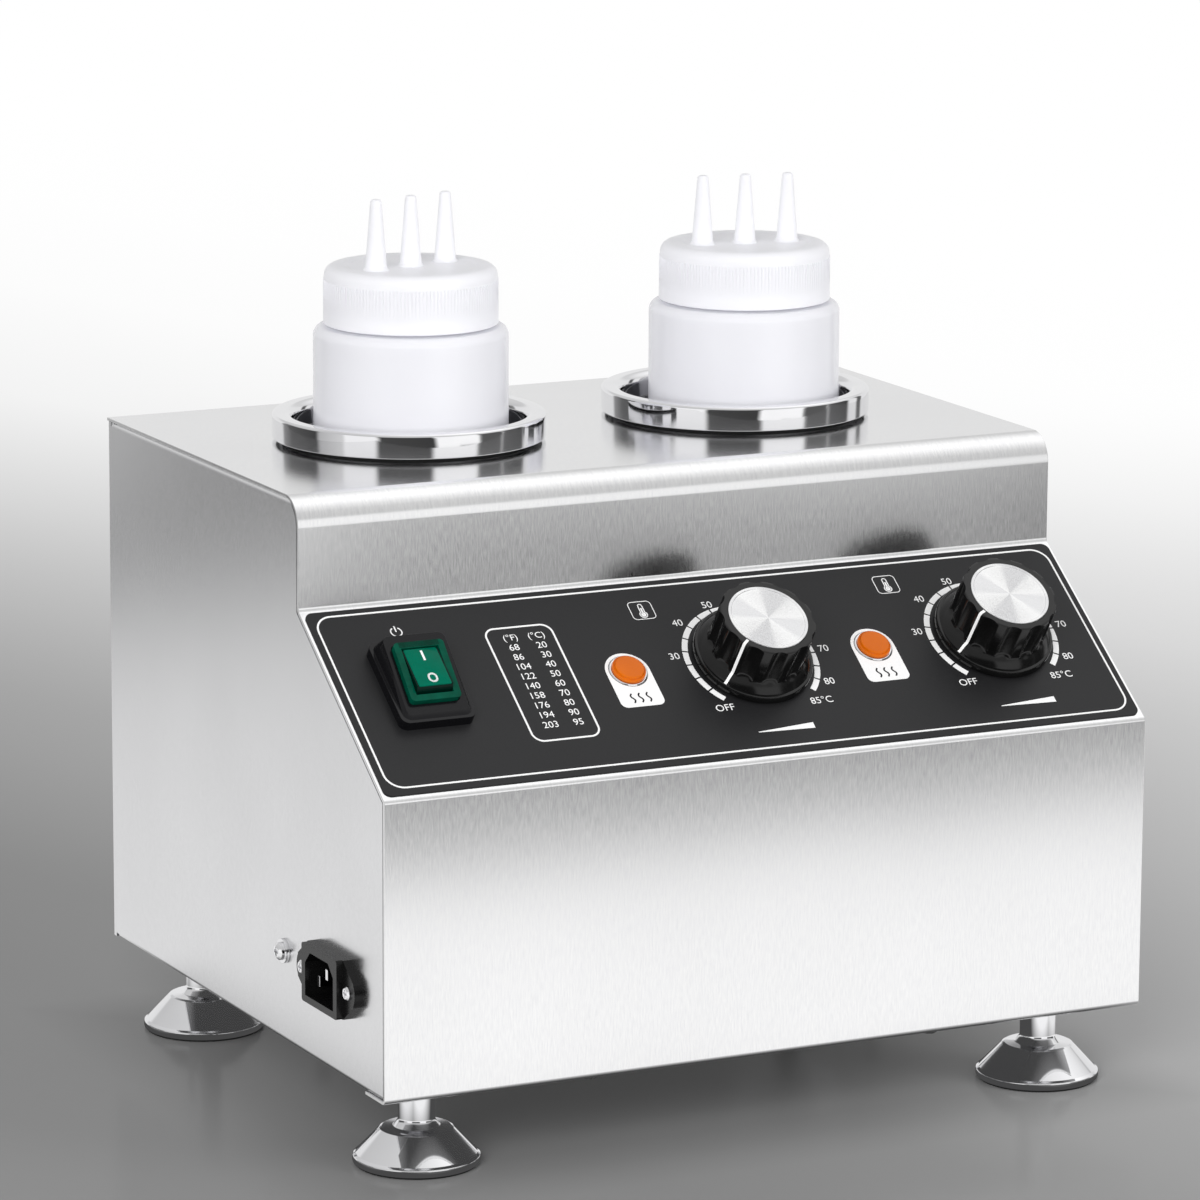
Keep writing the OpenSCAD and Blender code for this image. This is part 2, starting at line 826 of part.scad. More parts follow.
module knob_grip(i) {
    rim_r = grip_r - grip_draft;
    color("#101012") on_knob(i) difference() {
        union() {
            translate([0, 0, knob_gap]) cylinder(r = skirt_r, h = skirt_top - knob_gap);
            translate([0, 0, skirt_top])
                cylinder(r1 = skirt_r - skirt_step, r2 = grip_r, h = skirt_slope_top - skirt_top);
            difference() {
                union() {
                    translate([0, 0, skirt_slope_top])
                        cylinder(r1 = grip_r, r2 = rim_r, h = knob_h - grip_bevel - skirt_slope_top);
                    translate([0, 0, knob_h - grip_bevel])
                        cylinder(r1 = rim_r, r2 = rim_r - grip_bevel, h = grip_bevel);
                }
                for (a = [0:flutes - 1])
                    rotate((a + 0.5) * 360 / flutes)
                        translate([grip_r + flute_r - flute_depth, 0, skirt_slope_top])
                            cylinder(r = flute_r, h = knob_h);
            }
        }
        translate([0, 0, knob_h - disc_t]) cylinder(r = disc_r + run_gap, h = disc_t + over);
        difference() {
            cylinder(r = grip_r - flute_depth - knob_wall, h = knob_h - disc_t - knob_wall);
            cylinder(r = hub_r, h = knob_h);
        }
        difference() {
            cylinder(r = skirt_r - knob_wall, h = skirt_hollow_h);
            cylinder(r = hub_r, h = knob_h);
        }
        cylinder(r = shaft_r + run_gap, h = shaft_top + fit_gap);
        cylinder(r = hub_r + fit_gap, h = bush_out + move_gap);
    }
}

module knob_disc(i) {
    color("whitesmoke") on_knob(i) translate([0, 0, knob_h - disc_t])
        cylinder(r = disc_r, h = disc_t + disc_sink);
}

// White line from the disc's edge over the rim, down the grip and out over the skirt
module knob_pointer(i) {
    rim_r = grip_r - grip_draft;
    outer = [
        [disc_r + disc_sink, knob_h], [rim_r - grip_bevel, knob_h], [rim_r, knob_h - grip_bevel],
        [grip_r, skirt_slope_top],
        [skirt_r - skirt_step, skirt_top], [skirt_r, skirt_top]
    ];
    color("white") on_knob(i) translate([0, pointer_w / 2, 0]) rotate([90, 0, 0])
        linear_extrude(pointer_w) polygon([
            for (p = outer) p,
            for (n = [len(outer) - 1:-1:0]) outer[n] + [pointer_t, pointer_t * pointer_lift_share]
        ]);
}
pointer_lift_share = 0.5;

module thermostat_body(i) {
    color("#8c8478") in_body() on_slope(knob_xs[i], knob_u) difference() {
        union() {
            translate([-thermo_plate_l / 2, -thermo_w / 2, -cover_t - thermo_plate_t])
                cube([thermo_plate_l, thermo_w, thermo_plate_t]);
            translate([-thermo_l / 2, -thermo_w / 2, -cover_t - thermo_plate_t - thermo_h])
                cube([thermo_l, thermo_w, thermo_h + over]);
            translate([0, 0, -cover_t - over]) cylinder(r = bush_r, h = cover_t + overlay_t + bush_out + over);
        }
        translate([0, 0, -shaft_in - cover_t - run_gap])
            cylinder(r = shaft_r + run_gap, h = shaft_in + shaft_top);
        for (s = [-1, 1])
            translate([s * thermo_screw_pitch / 2, 0, -cover_t - thermo_screw_len])
                cylinder(r = thermo_screw_r + hole_gap, h = thermo_screw_len + over);
    }
}

module thermostat_shaft(i) {
    color("silver") on_knob(i) difference() {
        translate([0, 0, -overlay_t - cover_t - shaft_in])
            cylinder(r = shaft_r, h = overlay_t + cover_t + shaft_in + shaft_top);
        translate([shaft_r - shaft_flat, -shaft_r, bush_out + overlay_t + move_gap])
            cube([shaft_flat + over, 2 * shaft_r, shaft_top]);
    }
}

// Sensor bulb in its pocket on the well, and the capillary from the thermostat to its foot
module thermostat_bulb(i) {
    x = well_xs[i];
    y = well_y - well_r - well_t - bulb_wall - bulb_r - bulb_gap;
    low = bulb_top - bulb_l;
    start = slope_point(knob_xs[i], knob_u, -cover_t - thermo_plate_t - thermo_h);
    turn = [x, y, low - capillary_drop];
    mid = [start[0], start[1] + capillary_drop * sin(slope_a), start[2] - capillary_drop * cos(slope_a)];
    color("#b87333") in_body() {
        translate([x, y, low]) cylinder(r = bulb_r, h = bulb_l);
        wire_run([start, mid, turn, [x, y, low + over]], capillary_r);
    }
}
bulb_gap = 0.15;
capillary_drop = 12;

module thermostat_screws() {
    color("silver") in_body() for (x = knob_xs, s = [-1, 1])
        on_slope(x + s * thermo_screw_pitch / 2, knob_u, overlay_t)
            pan_screw(thermo_screw_r, thermo_screw_len, screw_head_r, screw_head_h);
}

module collar(i) {
    inner = throat_r;
    hollow = collar_r - inner - 2 * collar_wall;
    color("gainsboro") in_body() translate([well_xs[i], well_y, collar_z]) rotate_extrude($fn = 96)
        difference() {
            union() {
                translate([inner, 0]) square([collar_r - inner, collar_h - throat_round]);
                translate([inner + throat_round, 0])
                    square([collar_r - inner - throat_round - collar_round, collar_h]);
                translate([inner + throat_round, 0])
                    square([collar_r - inner - throat_round, collar_h - collar_round]);
                translate([inner + throat_round, collar_h - throat_round]) circle(throat_round);
                translate([collar_r - collar_round, collar_h - collar_round]) circle(collar_round);
            }
            translate([inner + collar_wall, -over])
                square([hollow, collar_h - throat_round - collar_wall + over]);
        }
}

module gasket(i) {
    color("#101010") in_body() translate([well_xs[i], well_y, gasket_z]) difference() {
        cylinder(r = gasket_r, h = gasket_t);
        translate([0, 0, -over]) cylinder(r = well_r + well_t + fit_gap, h = gasket_t + 2 * over);
    }
}

module well(i) {
    outer = well_r + well_t;
    low = well_floor - well_t;
    pocket_y = -outer - bulb_wall - bulb_r - bulb_gap;
    pocket_r = bulb_r + bulb_gap;
    pocket_low = bulb_top - bulb_pocket_l;
    color("lightsteelblue") in_body() translate([well_xs[i], well_y, 0]) {
        difference() {
            union() {
                translate([0, 0, low]) cylinder(r = outer, h = flange_z + well_flange_t - low);
                translate([0, 0, flange_z]) cylinder(r = well_flange_r, h = well_flange_t);
                translate([0, pocket_y, pocket_low]) cylinder(r = pocket_r + bulb_wall, h = bulb_pocket_l);
                translate([-pocket_r - bulb_wall, pocket_y, pocket_low])
                    cube([2 * (pocket_r + bulb_wall), -pocket_y - well_r, bulb_pocket_l]);
            }
            translate([0, 0, well_floor]) cylinder(r = well_r, h = body_h);
            translate([0, pocket_y, pocket_low - over]) cylinder(r = pocket_r, h = bulb_pocket_l + 2 * over);
        }
    }
}

// Band heater, split behind the well, with two ears for its clamp screw and two leads
module heater_band(i) {
    inner = well_r + well_t + heater_gap;
    outer = inner + heater_t;
    low = well_floor + heater_low;
    color("#b0a890") in_body() translate([well_xs[i], well_y, low]) {
        difference() {
            union() {
                cylinder(r = outer, h = heater_h);
                for (s = [-1, 1])
                    translate([s * (heater_split / 2 + ear_t / 2), outer + ear_l / 2 - heater_t, heater_h / 2])
                        cube([ear_t, ear_l + heater_t, heater_h / 2], center = true);
            }
            translate([0, 0, -over]) cylinder(r = inner, h = heater_h + 2 * over);
            translate([-heater_split / 2, 0, -over]) cube([heater_split, outer + over, heater_h + 2 * over]);
            translate([-heater_split, outer + ear_l / 2, heater_h / 2]) rotate([0, 90, 0])
                cylinder(r = clamp_r + hole_gap, h = 2 * heater_split);
        }
        for (s = [-1, 1])
            rotate(s * heater_lead_a) translate([0, -outer + heater_t / 2, heater_h / 2]) rotate([90, 0, 0])
                cylinder(r = heater_lead_r, h = heater_lead_l);
    }
}
heater_lead_a = 8;

module heater_clamp_screws() {
    y = well_y + well_r + well_t + heater_gap + heater_t + ear_l / 2;
    z = well_floor + heater_low + heater_h / 2;
    reach = heater_split + 2 * ear_t;
    color("dimgray") in_body() for (x = well_xs)
        translate([x - reach / 2, y, z]) rotate([0, -90, 0]) {
            pan_screw(clamp_r, reach + clamp_nut_h, clamp_head_r, clamp_head_h);
            translate([0, 0, -reach - clamp_nut_h]) cylinder(r = clamp_nut_r, h = clamp_nut_h, $fn = 6);
        }
}
clamp_nut_h = 3.2;
clamp_nut_r = 4;

// Frame of a bottle: it stands on the well's floor, a little off the well's axis
module on_bottle(i) {
    in_body() translate([well_xs[i] + bottle_shift[i], well_y, well_floor]) rotate(bottle_turn[i]) children();
}

// Helical ridge from radius r to radius out, in short steps of one turn
module thread_ridge(r, out, w, z) {
    for (k = [0:round(thread_steps * thread_turns) - 1])
        rotate(k * 360 / thread_steps) translate([0, 0, z + k * thread_lead / thread_steps])
            rotate_extrude(angle = 360 / thread_steps * thread_overlap_share, $fn = 96)
                polygon([[r, -w / 2], [out, -w / 4], [out, w / 4], [r, w / 2]]);
}

module bottle(i) {
    color("#eeeef6", 0.6) on_bottle(i) {
        difference() {
            union() {
                rotate_extrude($fn = 96) bottle_outline(0);
                thread_ridge(neck_r - thread_sink, neck_r + thread_out, thread_w, neck_z + thread_low);
            }
            rotate_extrude($fn = 96) bottle_outline(bottle_t);
            cylinder(r = neck_r - neck_t, h = rim_z + over);
        }
    }
}

// Half outline of a bottle, drawn in from its outside by a wall
module bottle_outline(wall) {
    r = bottle_r - wall;
    low = wall;
    high = shoulder_h - wall;
    intersection() {
        union() {
            translate([0, low]) square([r - foot_round, high - low]);
            translate([0, low + foot_round]) square([r, high - low - foot_round - shoulder_round]);
            translate([r - foot_round, low + foot_round]) circle(foot_round);
            translate([r - shoulder_round, high - shoulder_round]) circle(shoulder_round);
            translate([0, low + foot_round]) square([r - shoulder_round, high - low - foot_round]);
            if (wall == 0) square([neck_r, rim_z]);
        }
        translate([0, -over]) square([2 * bottle_r, 2 * rim_z]);
    }
}

module cap_seal(i) {
    color("#d8d8e0") on_bottle(i) translate([0, 0, seal_z]) difference() {
        cylinder(r = seal_r, h = seal_t);
        translate([0, 0, -over]) cylinder(r = seal_r - seal_w, h = seal_t + 2 * over);
    }
}

// Places of the nozzles on a cap
nozzle_xs = [-nozzle_pitch, 0, nozzle_pitch];

module cap(i) {
    inner = neck_r + thread_out + move_gap;
    roof_in = seal_z + seal_t;
    color("#f2f2fa", 0.7) on_bottle(i) {
        difference() {
            union() {
                rotate_extrude($fn = 96) {
                    translate([0, cap_z]) polygon([
                        [0, 0], [cap_r + cap_draft, 0], [cap_r, cap_top - cap_z - cap_round],
                        [0, cap_top - cap_z - cap_round]
                    ]);
                    translate([0, cap_z]) square([cap_r - cap_round, cap_top - cap_z]);
                    translate([cap_r - cap_round, cap_top - cap_round]) circle(cap_round);
                }
                for (x = nozzle_xs) translate([x, 0, cap_top - cap_dish - over]) nozzle();
            }
            difference() {
                translate([0, 0, cap_top - cap_dish]) cylinder(r = cap_dish_r, h = cap_dish + over);
                for (x = nozzle_xs) translate([x, 0, 0]) cylinder(r = nozzle_foot_r, h = 2 * cap_top);
            }
            difference() {
                translate([0, 0, cap_z - over]) cylinder(r = inner, h = roof_in - cap_z + over);
                thread_ridge(inner + thread_sink, inner - thread_out, thread_w,
                    neck_z + thread_low + thread_lead / 2);
            }
            for (x = nozzle_xs)
                translate([x, 0, roof_in - over]) cylinder(
                    r1 = nozzle_bore_foot, r2 = nozzle_bore_tip,
                    h = cap_top - cap_dish + nozzle_h - roof_in + 2 * over);
        }
    }
}

// Hollow cone with a round tip
module nozzle() {
    h = nozzle_h + over - nozzle_tip_r;
    cylinder(r1 = nozzle_foot_r, r2 = nozzle_tip_r, h = h);
    translate([0, 0, h]) sphere(nozzle_tip_r, $fn = 48);
}

// Frame of the inlet: X along the cabinet's depth, Y up, Z out of the side
module on_inlet(h = 0) {
    in_body() translate([-half_w, inlet_y, inlet_z]) rotate([90, 0, -90]) translate([0, 0, h]) children();
}

// Opening of the inlet's recess, with two cut corners at its top
module recess_outline() {
    w = recess_w / 2;
    h = recess_h / 2;
    polygon([
        [-w, -h], [w, -h], [w, h - recess_cut], [w - recess_cut, h], [-w + recess_cut, h], [-w, h - recess_cut]
    ]);
}

// Cut-out and screw holes for the inlet in the side sheet
module inlet_hole() {
    translate([-half_w + shell_t / 2, inlet_y, inlet_z]) {
        cube([shell_t + 2 * over, inlet_rear_w + 2 * inlet_wall_gap, inlet_rear_h + 2 * inlet_wall_gap],
            center = true);
        for (s = [-1, 1])
            translate([0, s * inlet_screw_pitch / 2, 0]) rotate([0, 90, 0])
                cylinder(r = inlet_screw_r + hole_gap, h = shell_t + 2 * over, center = true);
    }
}

module inlet_housing() {
    ear_reach = inlet_screw_pitch / 2;
    color("#161616") on_inlet() difference() {
        union() {
            linear_extrude(inlet_out) round_rect(inlet_w, inlet_h, inlet_round);
            linear_extrude(flange_t) union() {
                for (s = [-1, 1]) {
                    translate([s * (ear_reach - ear_in), 0]) circle(ear_r - ear_in / 2);
                    polygon([
                        [s * inlet_w / 4, inlet_h / 2], [s * inlet_w / 4, -inlet_h / 2],
                        [s * inlet_w / 2, -inlet_h / 2],
                        [s * (ear_reach + ear_nose_x), -ear_nose_y], [s * (ear_reach + ear_nose_x), ear_nose_y],
                        [s * inlet_w / 2, inlet_h / 2]
                    ]);
                }
            }
            translate([0, 0, -inlet_back]) linear_extrude(inlet_back + over)
                round_rect(inlet_rear_w, inlet_rear_h, inlet_round);
        }
        translate([0, 0, inlet_out - recess_deep]) linear_extrude(recess_deep + over) recess_outline();
        for (s = [-1, 1])
            translate([s * ear_reach, 0, -over]) cylinder(r = inlet_screw_r + hole_gap, h = flange_t + 2 * over);
        for (p = inlet_pin_places())
            translate([p[0], p[1], -inlet_back]) cube([pin_t, pin_w, 2 * inlet_back], center = true);
    }
}
ear_in = 1;
ear_nose_x = 4.5;
ear_nose_y = 4.4;

// Places of the live, neutral and earth pins
function inlet_pin_places() = [[-pin_pitch / 2, -pin_down], [pin_pitch / 2, -pin_down], [0, pin_up - pin_down]];

module inlet_pins() {
    floor_z = inlet_out - recess_deep;
    tip = inlet_out - pin_short - pin_short;
    color("gainsboro") on_inlet() for (p = inlet_pin_places())
        translate([p[0] - pin_t / 2, p[1] - pin_w / 2, -inlet_back - inlet_tab_l])
            cube([pin_t, pin_w, tip + inlet_back + inlet_tab_l]);
}

module inlet_screws() {
    color("silver") on_inlet() for (s = [-1, 1]) translate([s * inlet_screw_pitch / 2, 0, 0]) {
        translate([0, 0, flange_t])
            pan_screw(inlet_screw_r, inlet_screw_len, inlet_screw_head_r, inlet_screw_head_h);
        translate([0, 0, -shell_t - inlet_nut_h]) cylinder(r = inlet_nut_r, h = inlet_nut_h, $fn = 6);
    }
}

module earth_screw() {
    color("silver") in_body() translate([-half_w, earth_y, earth_z]) rotate([0, -90, 0]) {
        cylinder(r = earth_washer_r, h = earth_washer_t);
        translate([0, 0, earth_washer_t]) pan_screw(earth_r, earth_len, earth_head_r, earth_head_h);
        translate([0, 0, -shell_t - earth_nut_h]) cylinder(r = earth_nut_r, h = earth_nut_h, $fn = 6);
    }
}

// Middle of a way of the terminal block
function way_x(k) = block_x + (k - (block_ways - 1) / 2) * block_step;

module terminal_block() {
    color("ivory") in_body() difference() {
        translate([block_x - block_w / 2, block_y - block_l / 2, base_t]) cube([block_w, block_l, block_h]);
        for (k = [0:block_ways - 1]) {
            translate([way_x(k), block_y - block_l, base_t + block_h / 2]) rotate([-90, 0, 0])
                cylinder(r = way_r, h = 2 * block_l, $fn = 32);
            for (s = [-1, 1])
                translate([way_x(k), block_y + s * block_l / 4, base_t + block_h / 2])
                    cylinder(r = way_head_r, h = block_h, $fn = 32);
        }
    }
}

// Wires from the inlet and the switch to the front of the block, and from its rear to the heaters
module wiring() {
    way_z = base_t + block_h / 2;
    front_y = block_y - block_l / 2 + wire_in;
    rear_y = block_y + block_l / 2 - wire_in;
    pin_x = -half_w + inlet_back + inlet_tab_l;
    switch_end = slope_point(switch_cx + tab_pitch_x / 2, switch_u - tab_pitch_y, -switch_deep - tab_l);
    heat_z = well_floor + heater_low + heater_h / 2;
    lead_end = well_r + well_t + heater_gap + heater_t / 2 + heater_lead_l;
    drop_y = well_y - (lead_end + wire_out) * cos(heater_lead_a);
    turn_y = drop_y - wire_gap;
    color("firebrick") in_body() {
        for (k = [0:2]) {
            p = inlet_pin_places()[k];
            y = inlet_y - p[0];
            z = inlet_z + p[1];
            wire_run([
                [pin_x, y, z], [way_x(k), y, z], [way_x(k), y, way_z], [way_x(k), front_y, way_z]
            ], wire_r);
        }
        wire_run([
            switch_end, switch_end + [0, wire_gap, -wire_gap],
            [way_x(3), block_y - block_l, loom_z + 2 * wire_gap],
            [way_x(3), block_y - block_l, way_z], [way_x(3), front_y, way_z]
        ], wire_r);
        wire_run([
            [-half_w + earth_len - earth_washer_t, earth_y, earth_z],
            [way_x(0) - block_step, earth_y, earth_z], [way_x(0) - block_step, earth_y, base_t]
        ], wire_r);
        for (n = [0:3]) {
            s = n % 2 == 0 ? -1 : 1;
            x = well_xs[n < 2 ? 0 : 1] + s * lead_end * sin(heater_lead_a);
            x_out = well_xs[n < 2 ? 0 : 1] + s * (lead_end + wire_out) * sin(heater_lead_a);
            way = way_x([3, 2, 1, 0][n]);
            level = n == 0 ? way_z : loom_z + (n - 1) * wire_gap;
            y = n == 0 ? drop_y : turn_y;
            wire_run([
                [x, well_y - lead_end * cos(heater_lead_a), heat_z], [x_out, drop_y, heat_z],
                [x_out, drop_y, level], if (n > 0) [x_out, y, level],
                [way, y, level], if (n > 0) [way, y, way_z], [way, rear_y, way_z]
            ], wire_r);
        }
    }
}
wire_in = 4;
wire_out = 3;
wire_gap = 5;
loom_z = 22;

// Frame of a foot, on the counter below its axis
module on_foot(i) {
    translate([body_x + foot_xs[i], front + foot_ys[i], 0]) children();
}

module foot_bell(i) {
    color("gainsboro") on_foot(i) difference() {
        union() {
            rotate_extrude($fn = 96) {
                polygon([
                    [0, pad_recess], [foot_r - rim_round, pad_recess],
                    [foot_r, pad_recess + rim_round], [foot_r, rim_h - rim_round],
                    [foot_r - rim_round, rim_h], [foot_shoulder_r, cone_top], [flare_r, shoulder_top],
                    [0, shoulder_top]
                ]);
                translate([0, shoulder_top]) difference() {
                    square([foot_stem_r + flare_round, flare_round]);
                    translate([foot_stem_r + flare_round, flare_round]) circle(flare_round);
                }
                square([foot_stem_r, foot_h]);
            }
            translate([0, 0, foot_h - over]) cylinder(r = stud_r, h = stud_len + over);
        }
        translate([0, 0, -over]) cylinder(r = pad_r + fit_gap, h = pad_h + over);
    }
}

module foot_pad(i) {
    color("#1a1a1a") on_foot(i) cylinder(r = pad_r, h = pad_h);
}

module foot_nuts() {
    color("silver") in_body() for (i = [0:3])
        translate([foot_xs[i], foot_ys[i], base_t]) difference() {
            cylinder(r = nut_r, h = nut_h, $fn = 6);
            translate([0, 0, -over]) cylinder(r = stud_r + run_gap, h = nut_h + 2 * over);
        }
}

front_top_cover();
side_rear_shell();
base_plate();
base_screws();
control_overlay();
panel_print();
switch_bezel();
switch_frame();
switch_rocker();
switch_body();
switch_terminals();
lamp_bezel(0);  // lamp_1_bezel
lamp_lens(0);  // lamp_1_lens
lamp_holder(0);  // lamp_1_holder
lamp_bezel(1);  // lamp_2_bezel
lamp_lens(1);  // lamp_2_lens
lamp_holder(1);  // lamp_2_holder
knob_grip(0);  // knob_1_grip
knob_disc(0);  // knob_1_disc
knob_pointer(0);  // knob_1_pointer
knob_grip(1);  // knob_2_grip
knob_disc(1);  // knob_2_disc
knob_pointer(1);  // knob_2_pointer
thermostat_body(0);  // thermostat_1_body
thermostat_shaft(0);  // thermostat_1_shaft
thermostat_bulb(0);  // thermostat_1_bulb
thermostat_body(1);  // thermostat_2_body
thermostat_shaft(1);  // thermostat_2_shaft
thermostat_bulb(1);  // thermostat_2_bulb
thermostat_screws();
collar(0);  // collar_1
collar(1);  // collar_2
gasket(0);  // gasket_1
gasket(1);  // gasket_2
well(0);  // well_1
well(1);  // well_2
heater_band(0);  // heater_band_1
heater_band(1);  // heater_band_2
heater_clamp_screws();
bottle(0);  // bottle_1
cap_seal(0);  // cap_seal_1
cap(0);  // cap_1
bottle(1);  // bottle_2
cap_seal(1);  // cap_seal_2
cap(1);  // cap_2
inlet_housing();
inlet_pins();
inlet_screws();
earth_screw();
terminal_block();
wiring();
foot_bell(0);  // foot_1_bell
foot_pad(0);  // foot_1_pad
foot_bell(1);  // foot_2_bell
foot_pad(1);  // foot_2_pad
foot_bell(2);  // foot_3_bell
foot_pad(2);  // foot_3_pad
foot_bell(3);  // foot_4_bell
foot_pad(3);  // foot_4_pad
foot_nuts();
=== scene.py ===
"""Looks of a two-well sauce bottle warmer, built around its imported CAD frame.

All sizes are in millimetres in the cabinet's own frame: X from the middle to the right, Y back from
the lower front, Z up from the cabinet's underside. Meshes are placed in metres in the row frame.
"""
import logging
import math
from dataclasses import dataclass
from enum import Enum
from typing import Any, Callable, Iterable, Sequence

import bmesh
import bpy
from mathutils import Matrix, Vector


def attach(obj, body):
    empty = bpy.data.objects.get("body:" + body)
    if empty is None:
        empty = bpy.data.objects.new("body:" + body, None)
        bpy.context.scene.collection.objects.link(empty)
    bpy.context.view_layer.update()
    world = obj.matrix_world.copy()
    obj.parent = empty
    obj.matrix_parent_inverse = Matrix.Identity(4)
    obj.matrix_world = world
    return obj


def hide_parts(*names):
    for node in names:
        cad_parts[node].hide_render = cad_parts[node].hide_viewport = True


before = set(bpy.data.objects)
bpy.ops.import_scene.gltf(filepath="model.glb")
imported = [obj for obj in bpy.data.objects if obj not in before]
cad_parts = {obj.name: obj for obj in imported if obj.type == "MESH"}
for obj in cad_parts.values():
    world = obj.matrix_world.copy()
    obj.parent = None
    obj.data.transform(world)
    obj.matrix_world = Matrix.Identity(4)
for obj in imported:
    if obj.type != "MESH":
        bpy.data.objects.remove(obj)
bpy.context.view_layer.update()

LOG = logging.getLogger("warmer")
MM = 0.001
TURN = 2.0 * math.pi
WELD = 0.002  # points of a CAD mesh nearer than this, in millimetres, become one
FLAT = 0.6  # faces of a CAD mesh that meet at less than this, in degrees, become one
ON_AXIS = 1e-6  # a radius below this, in millimetres, lies on the lathe's axis
Point2 = tuple[float, float]
Point3 = tuple[float, float, float]
Stops = Sequence[Point2]
Loop = list[Vector]
Piece = bpy.types.Object
Socket = bpy.types.NodeSocket


class Rider(Enum):
    """The bodies that a piece can move with."""

    CHASSIS = "chassis"
    ROCKER = "rocker"
    KNOB_1 = "knob_1"
    KNOB_2 = "knob_2"
    BOTTLE_1 = "bottle_1"
    BOTTLE_2 = "bottle_2"
    SEAL_1 = "cap_seal_1"
    SEAL_2 = "cap_seal_2"
    CAP_1 = "cap_1"
    CAP_2 = "cap_2"
    FOOT_1 = "foot_1"
    FOOT_2 = "foot_2"
    FOOT_3 = "foot_3"
    FOOT_4 = "foot_4"
    PAD_1 = "foot_1_pad"
    PAD_2 = "foot_2_pad"
    PAD_3 = "foot_3_pad"
    PAD_4 = "foot_4_pad"

    @classmethod
    def numbered(cls, stem: str, number: int) -> "Rider":
        """The body of one of several alike pieces, such as the second knob."""
        return cls[f"{stem}_{number}"]


class Grain(Enum):
    """How fine a finish's pattern is along X, Y and Z, in periods a metre."""

    ALONG_SHEET = (1700.0, 240.0, 240.0)
    UPRIGHT = (1500.0, 1500.0, 650.0)
    ROUND_WALL = (25.0, 25.0, 1800.0)
    FINE = (1500.0, 1500.0, 1500.0)
    COARSE = (220.0, 220.0, 220.0)
    CLOUDY = (40.0, 40.0, 40.0)


# ---- node trees -----------------------------------------------------------------------------


@dataclass
class Tree:
    """A node tree with short ways to add and link its nodes.

    Attributes:
        tree: the tree itself.
    """

    tree: bpy.types.NodeTree

    def add(self, kind: str, inputs: dict[str | int, Any] | None = None, **settings: Any) -> bpy.types.Node:
        """Adds a node.

        Args:
            kind: the node's type; ShaderNode is put before a short one.
            inputs: a socket to link or a plain value, by the input's name or number.
            settings: the node's properties.

        Returns:
            The node.
        """
        full = kind if kind.startswith(("Geometry", "Node")) else f"ShaderNode{kind}"
        node = self.tree.nodes.new(full)
        for name, value in settings.items():
            setattr(node, name, value)
        for slot, value in (inputs or {}).items():
            self.feed(node.inputs[slot], value)
        return node

    def feed(self, slot: Socket, value: Any) -> None:
        """Links a socket to an input, or sets the input to a plain value."""
        if isinstance(value, bpy.types.NodeSocket):
            self.tree.links.new(value, slot)
        else:
            slot.default_value = value

    def math(self, operation: str, *values: Any) -> Socket:
        """One step of arithmetic with sockets or plain numbers."""
        return self.add("Math", dict(enumerate(values)), operation=operation).outputs["Value"]

    def vector(self, operation: str, slot: str, inputs: dict[str | int, Any]) -> Socket:
        """One step of vector arithmetic, and the output that carries its result."""
        return self.add("VectorMath", inputs, operation=operation).outputs[slot]

    def dimmed(self, colour: Socket, share: Socket) -> Socket:
        """A colour times a share."""
        return self.vector("SCALE", "Vector", {0: colour, "Scale": share})

    def split(self, vector: Socket) -> dict[str, Socket]:
        """The X, Y and Z of a vector."""
        return {part.name: part for part in self.add("SeparateXYZ", {"Vector": vector}).outputs}

    def ranged(self, value: Socket, source: Point2, target: Point2 = (0.0, 1.0),
               ease: str = "LINEAR") -> Socket:
        """A value carried from one range to another.

        Args:
            value: the socket with the value.
            source, target: the two ranges.
            ease: LINEAR or SMOOTHSTEP.

        Returns:
            The socket with the new value.
        """
        spans = dict(zip(("From Min", "From Max", "To Min", "To Max"), (*source, *target)))
        return self.add("MapRange", {"Value": value, **spans}, interpolation_type=ease).outputs["Result"]

    def ramp(self, factor: Socket, stops: Sequence[tuple[float, Point3]]) -> Socket:
        """A colour along a factor, from pairs of place and colour."""
        made = self.add("ValToRGB", {"Fac": factor})
        points = made.color_ramp.elements
        while len(points) < len(stops):
            points.new(0.5)
        for point, (spot, colour) in zip(points, stops):
            point.position = spot
            point.color = (*colour, 1.0)
        return made.outputs["Color"]

    def tones(self, value: Socket, stops: Stops) -> Socket:
        """Greys along a value, from pairs of value and grey."""
        low, high = stops[0][0], stops[-1][0]
        return self.ramp(self.ranged(value, (low, high)),
                         [((spot - low) / (high - low), (grey, grey, grey)) for spot, grey in stops])

    def noise(self, vector: Socket, scale: float, detail: float, rough: float = 0.5) -> Socket:
        """Soft noise on a vector."""
        return self.add("TexNoise", {"Vector": vector, "Scale": scale, "Detail": detail,
                                     "Roughness": rough}).outputs["Fac"]

    def bump(self, height: Socket, depth: float) -> Socket:
        """A normal from a height and a depth in millimetres."""
        return self.add("Bump", {"Height": height, "Strength": 1.0, "Distance": depth * MM}).outputs["Normal"]

    def blend(self, value: Socket, span: Point2, low: Socket, high: Socket) -> Socket:
        """One colour that gives way to another as a value crosses a span."""
        mix = self.add("Mix", data_type="RGBA")
        self.feed(mix.inputs["Factor"], self.ranged(value, span, ease="SMOOTHSTEP"))
        for slot, colour in zip([socket for socket in mix.inputs if socket.type == "RGBA"], (low, high)):
            self.feed(slot, colour)
        return next(socket for socket in mix.outputs if socket.type == "RGBA")

    def shared(self, share: Any, first: Socket, second: Socket) -> Socket:
        """Two shaders mixed by a share."""
        return self.add("MixShader", {"Fac": share, 1: first, 2: second}).outputs["Shader"]


# ---- finishes -------------------------------------------------------------------------------


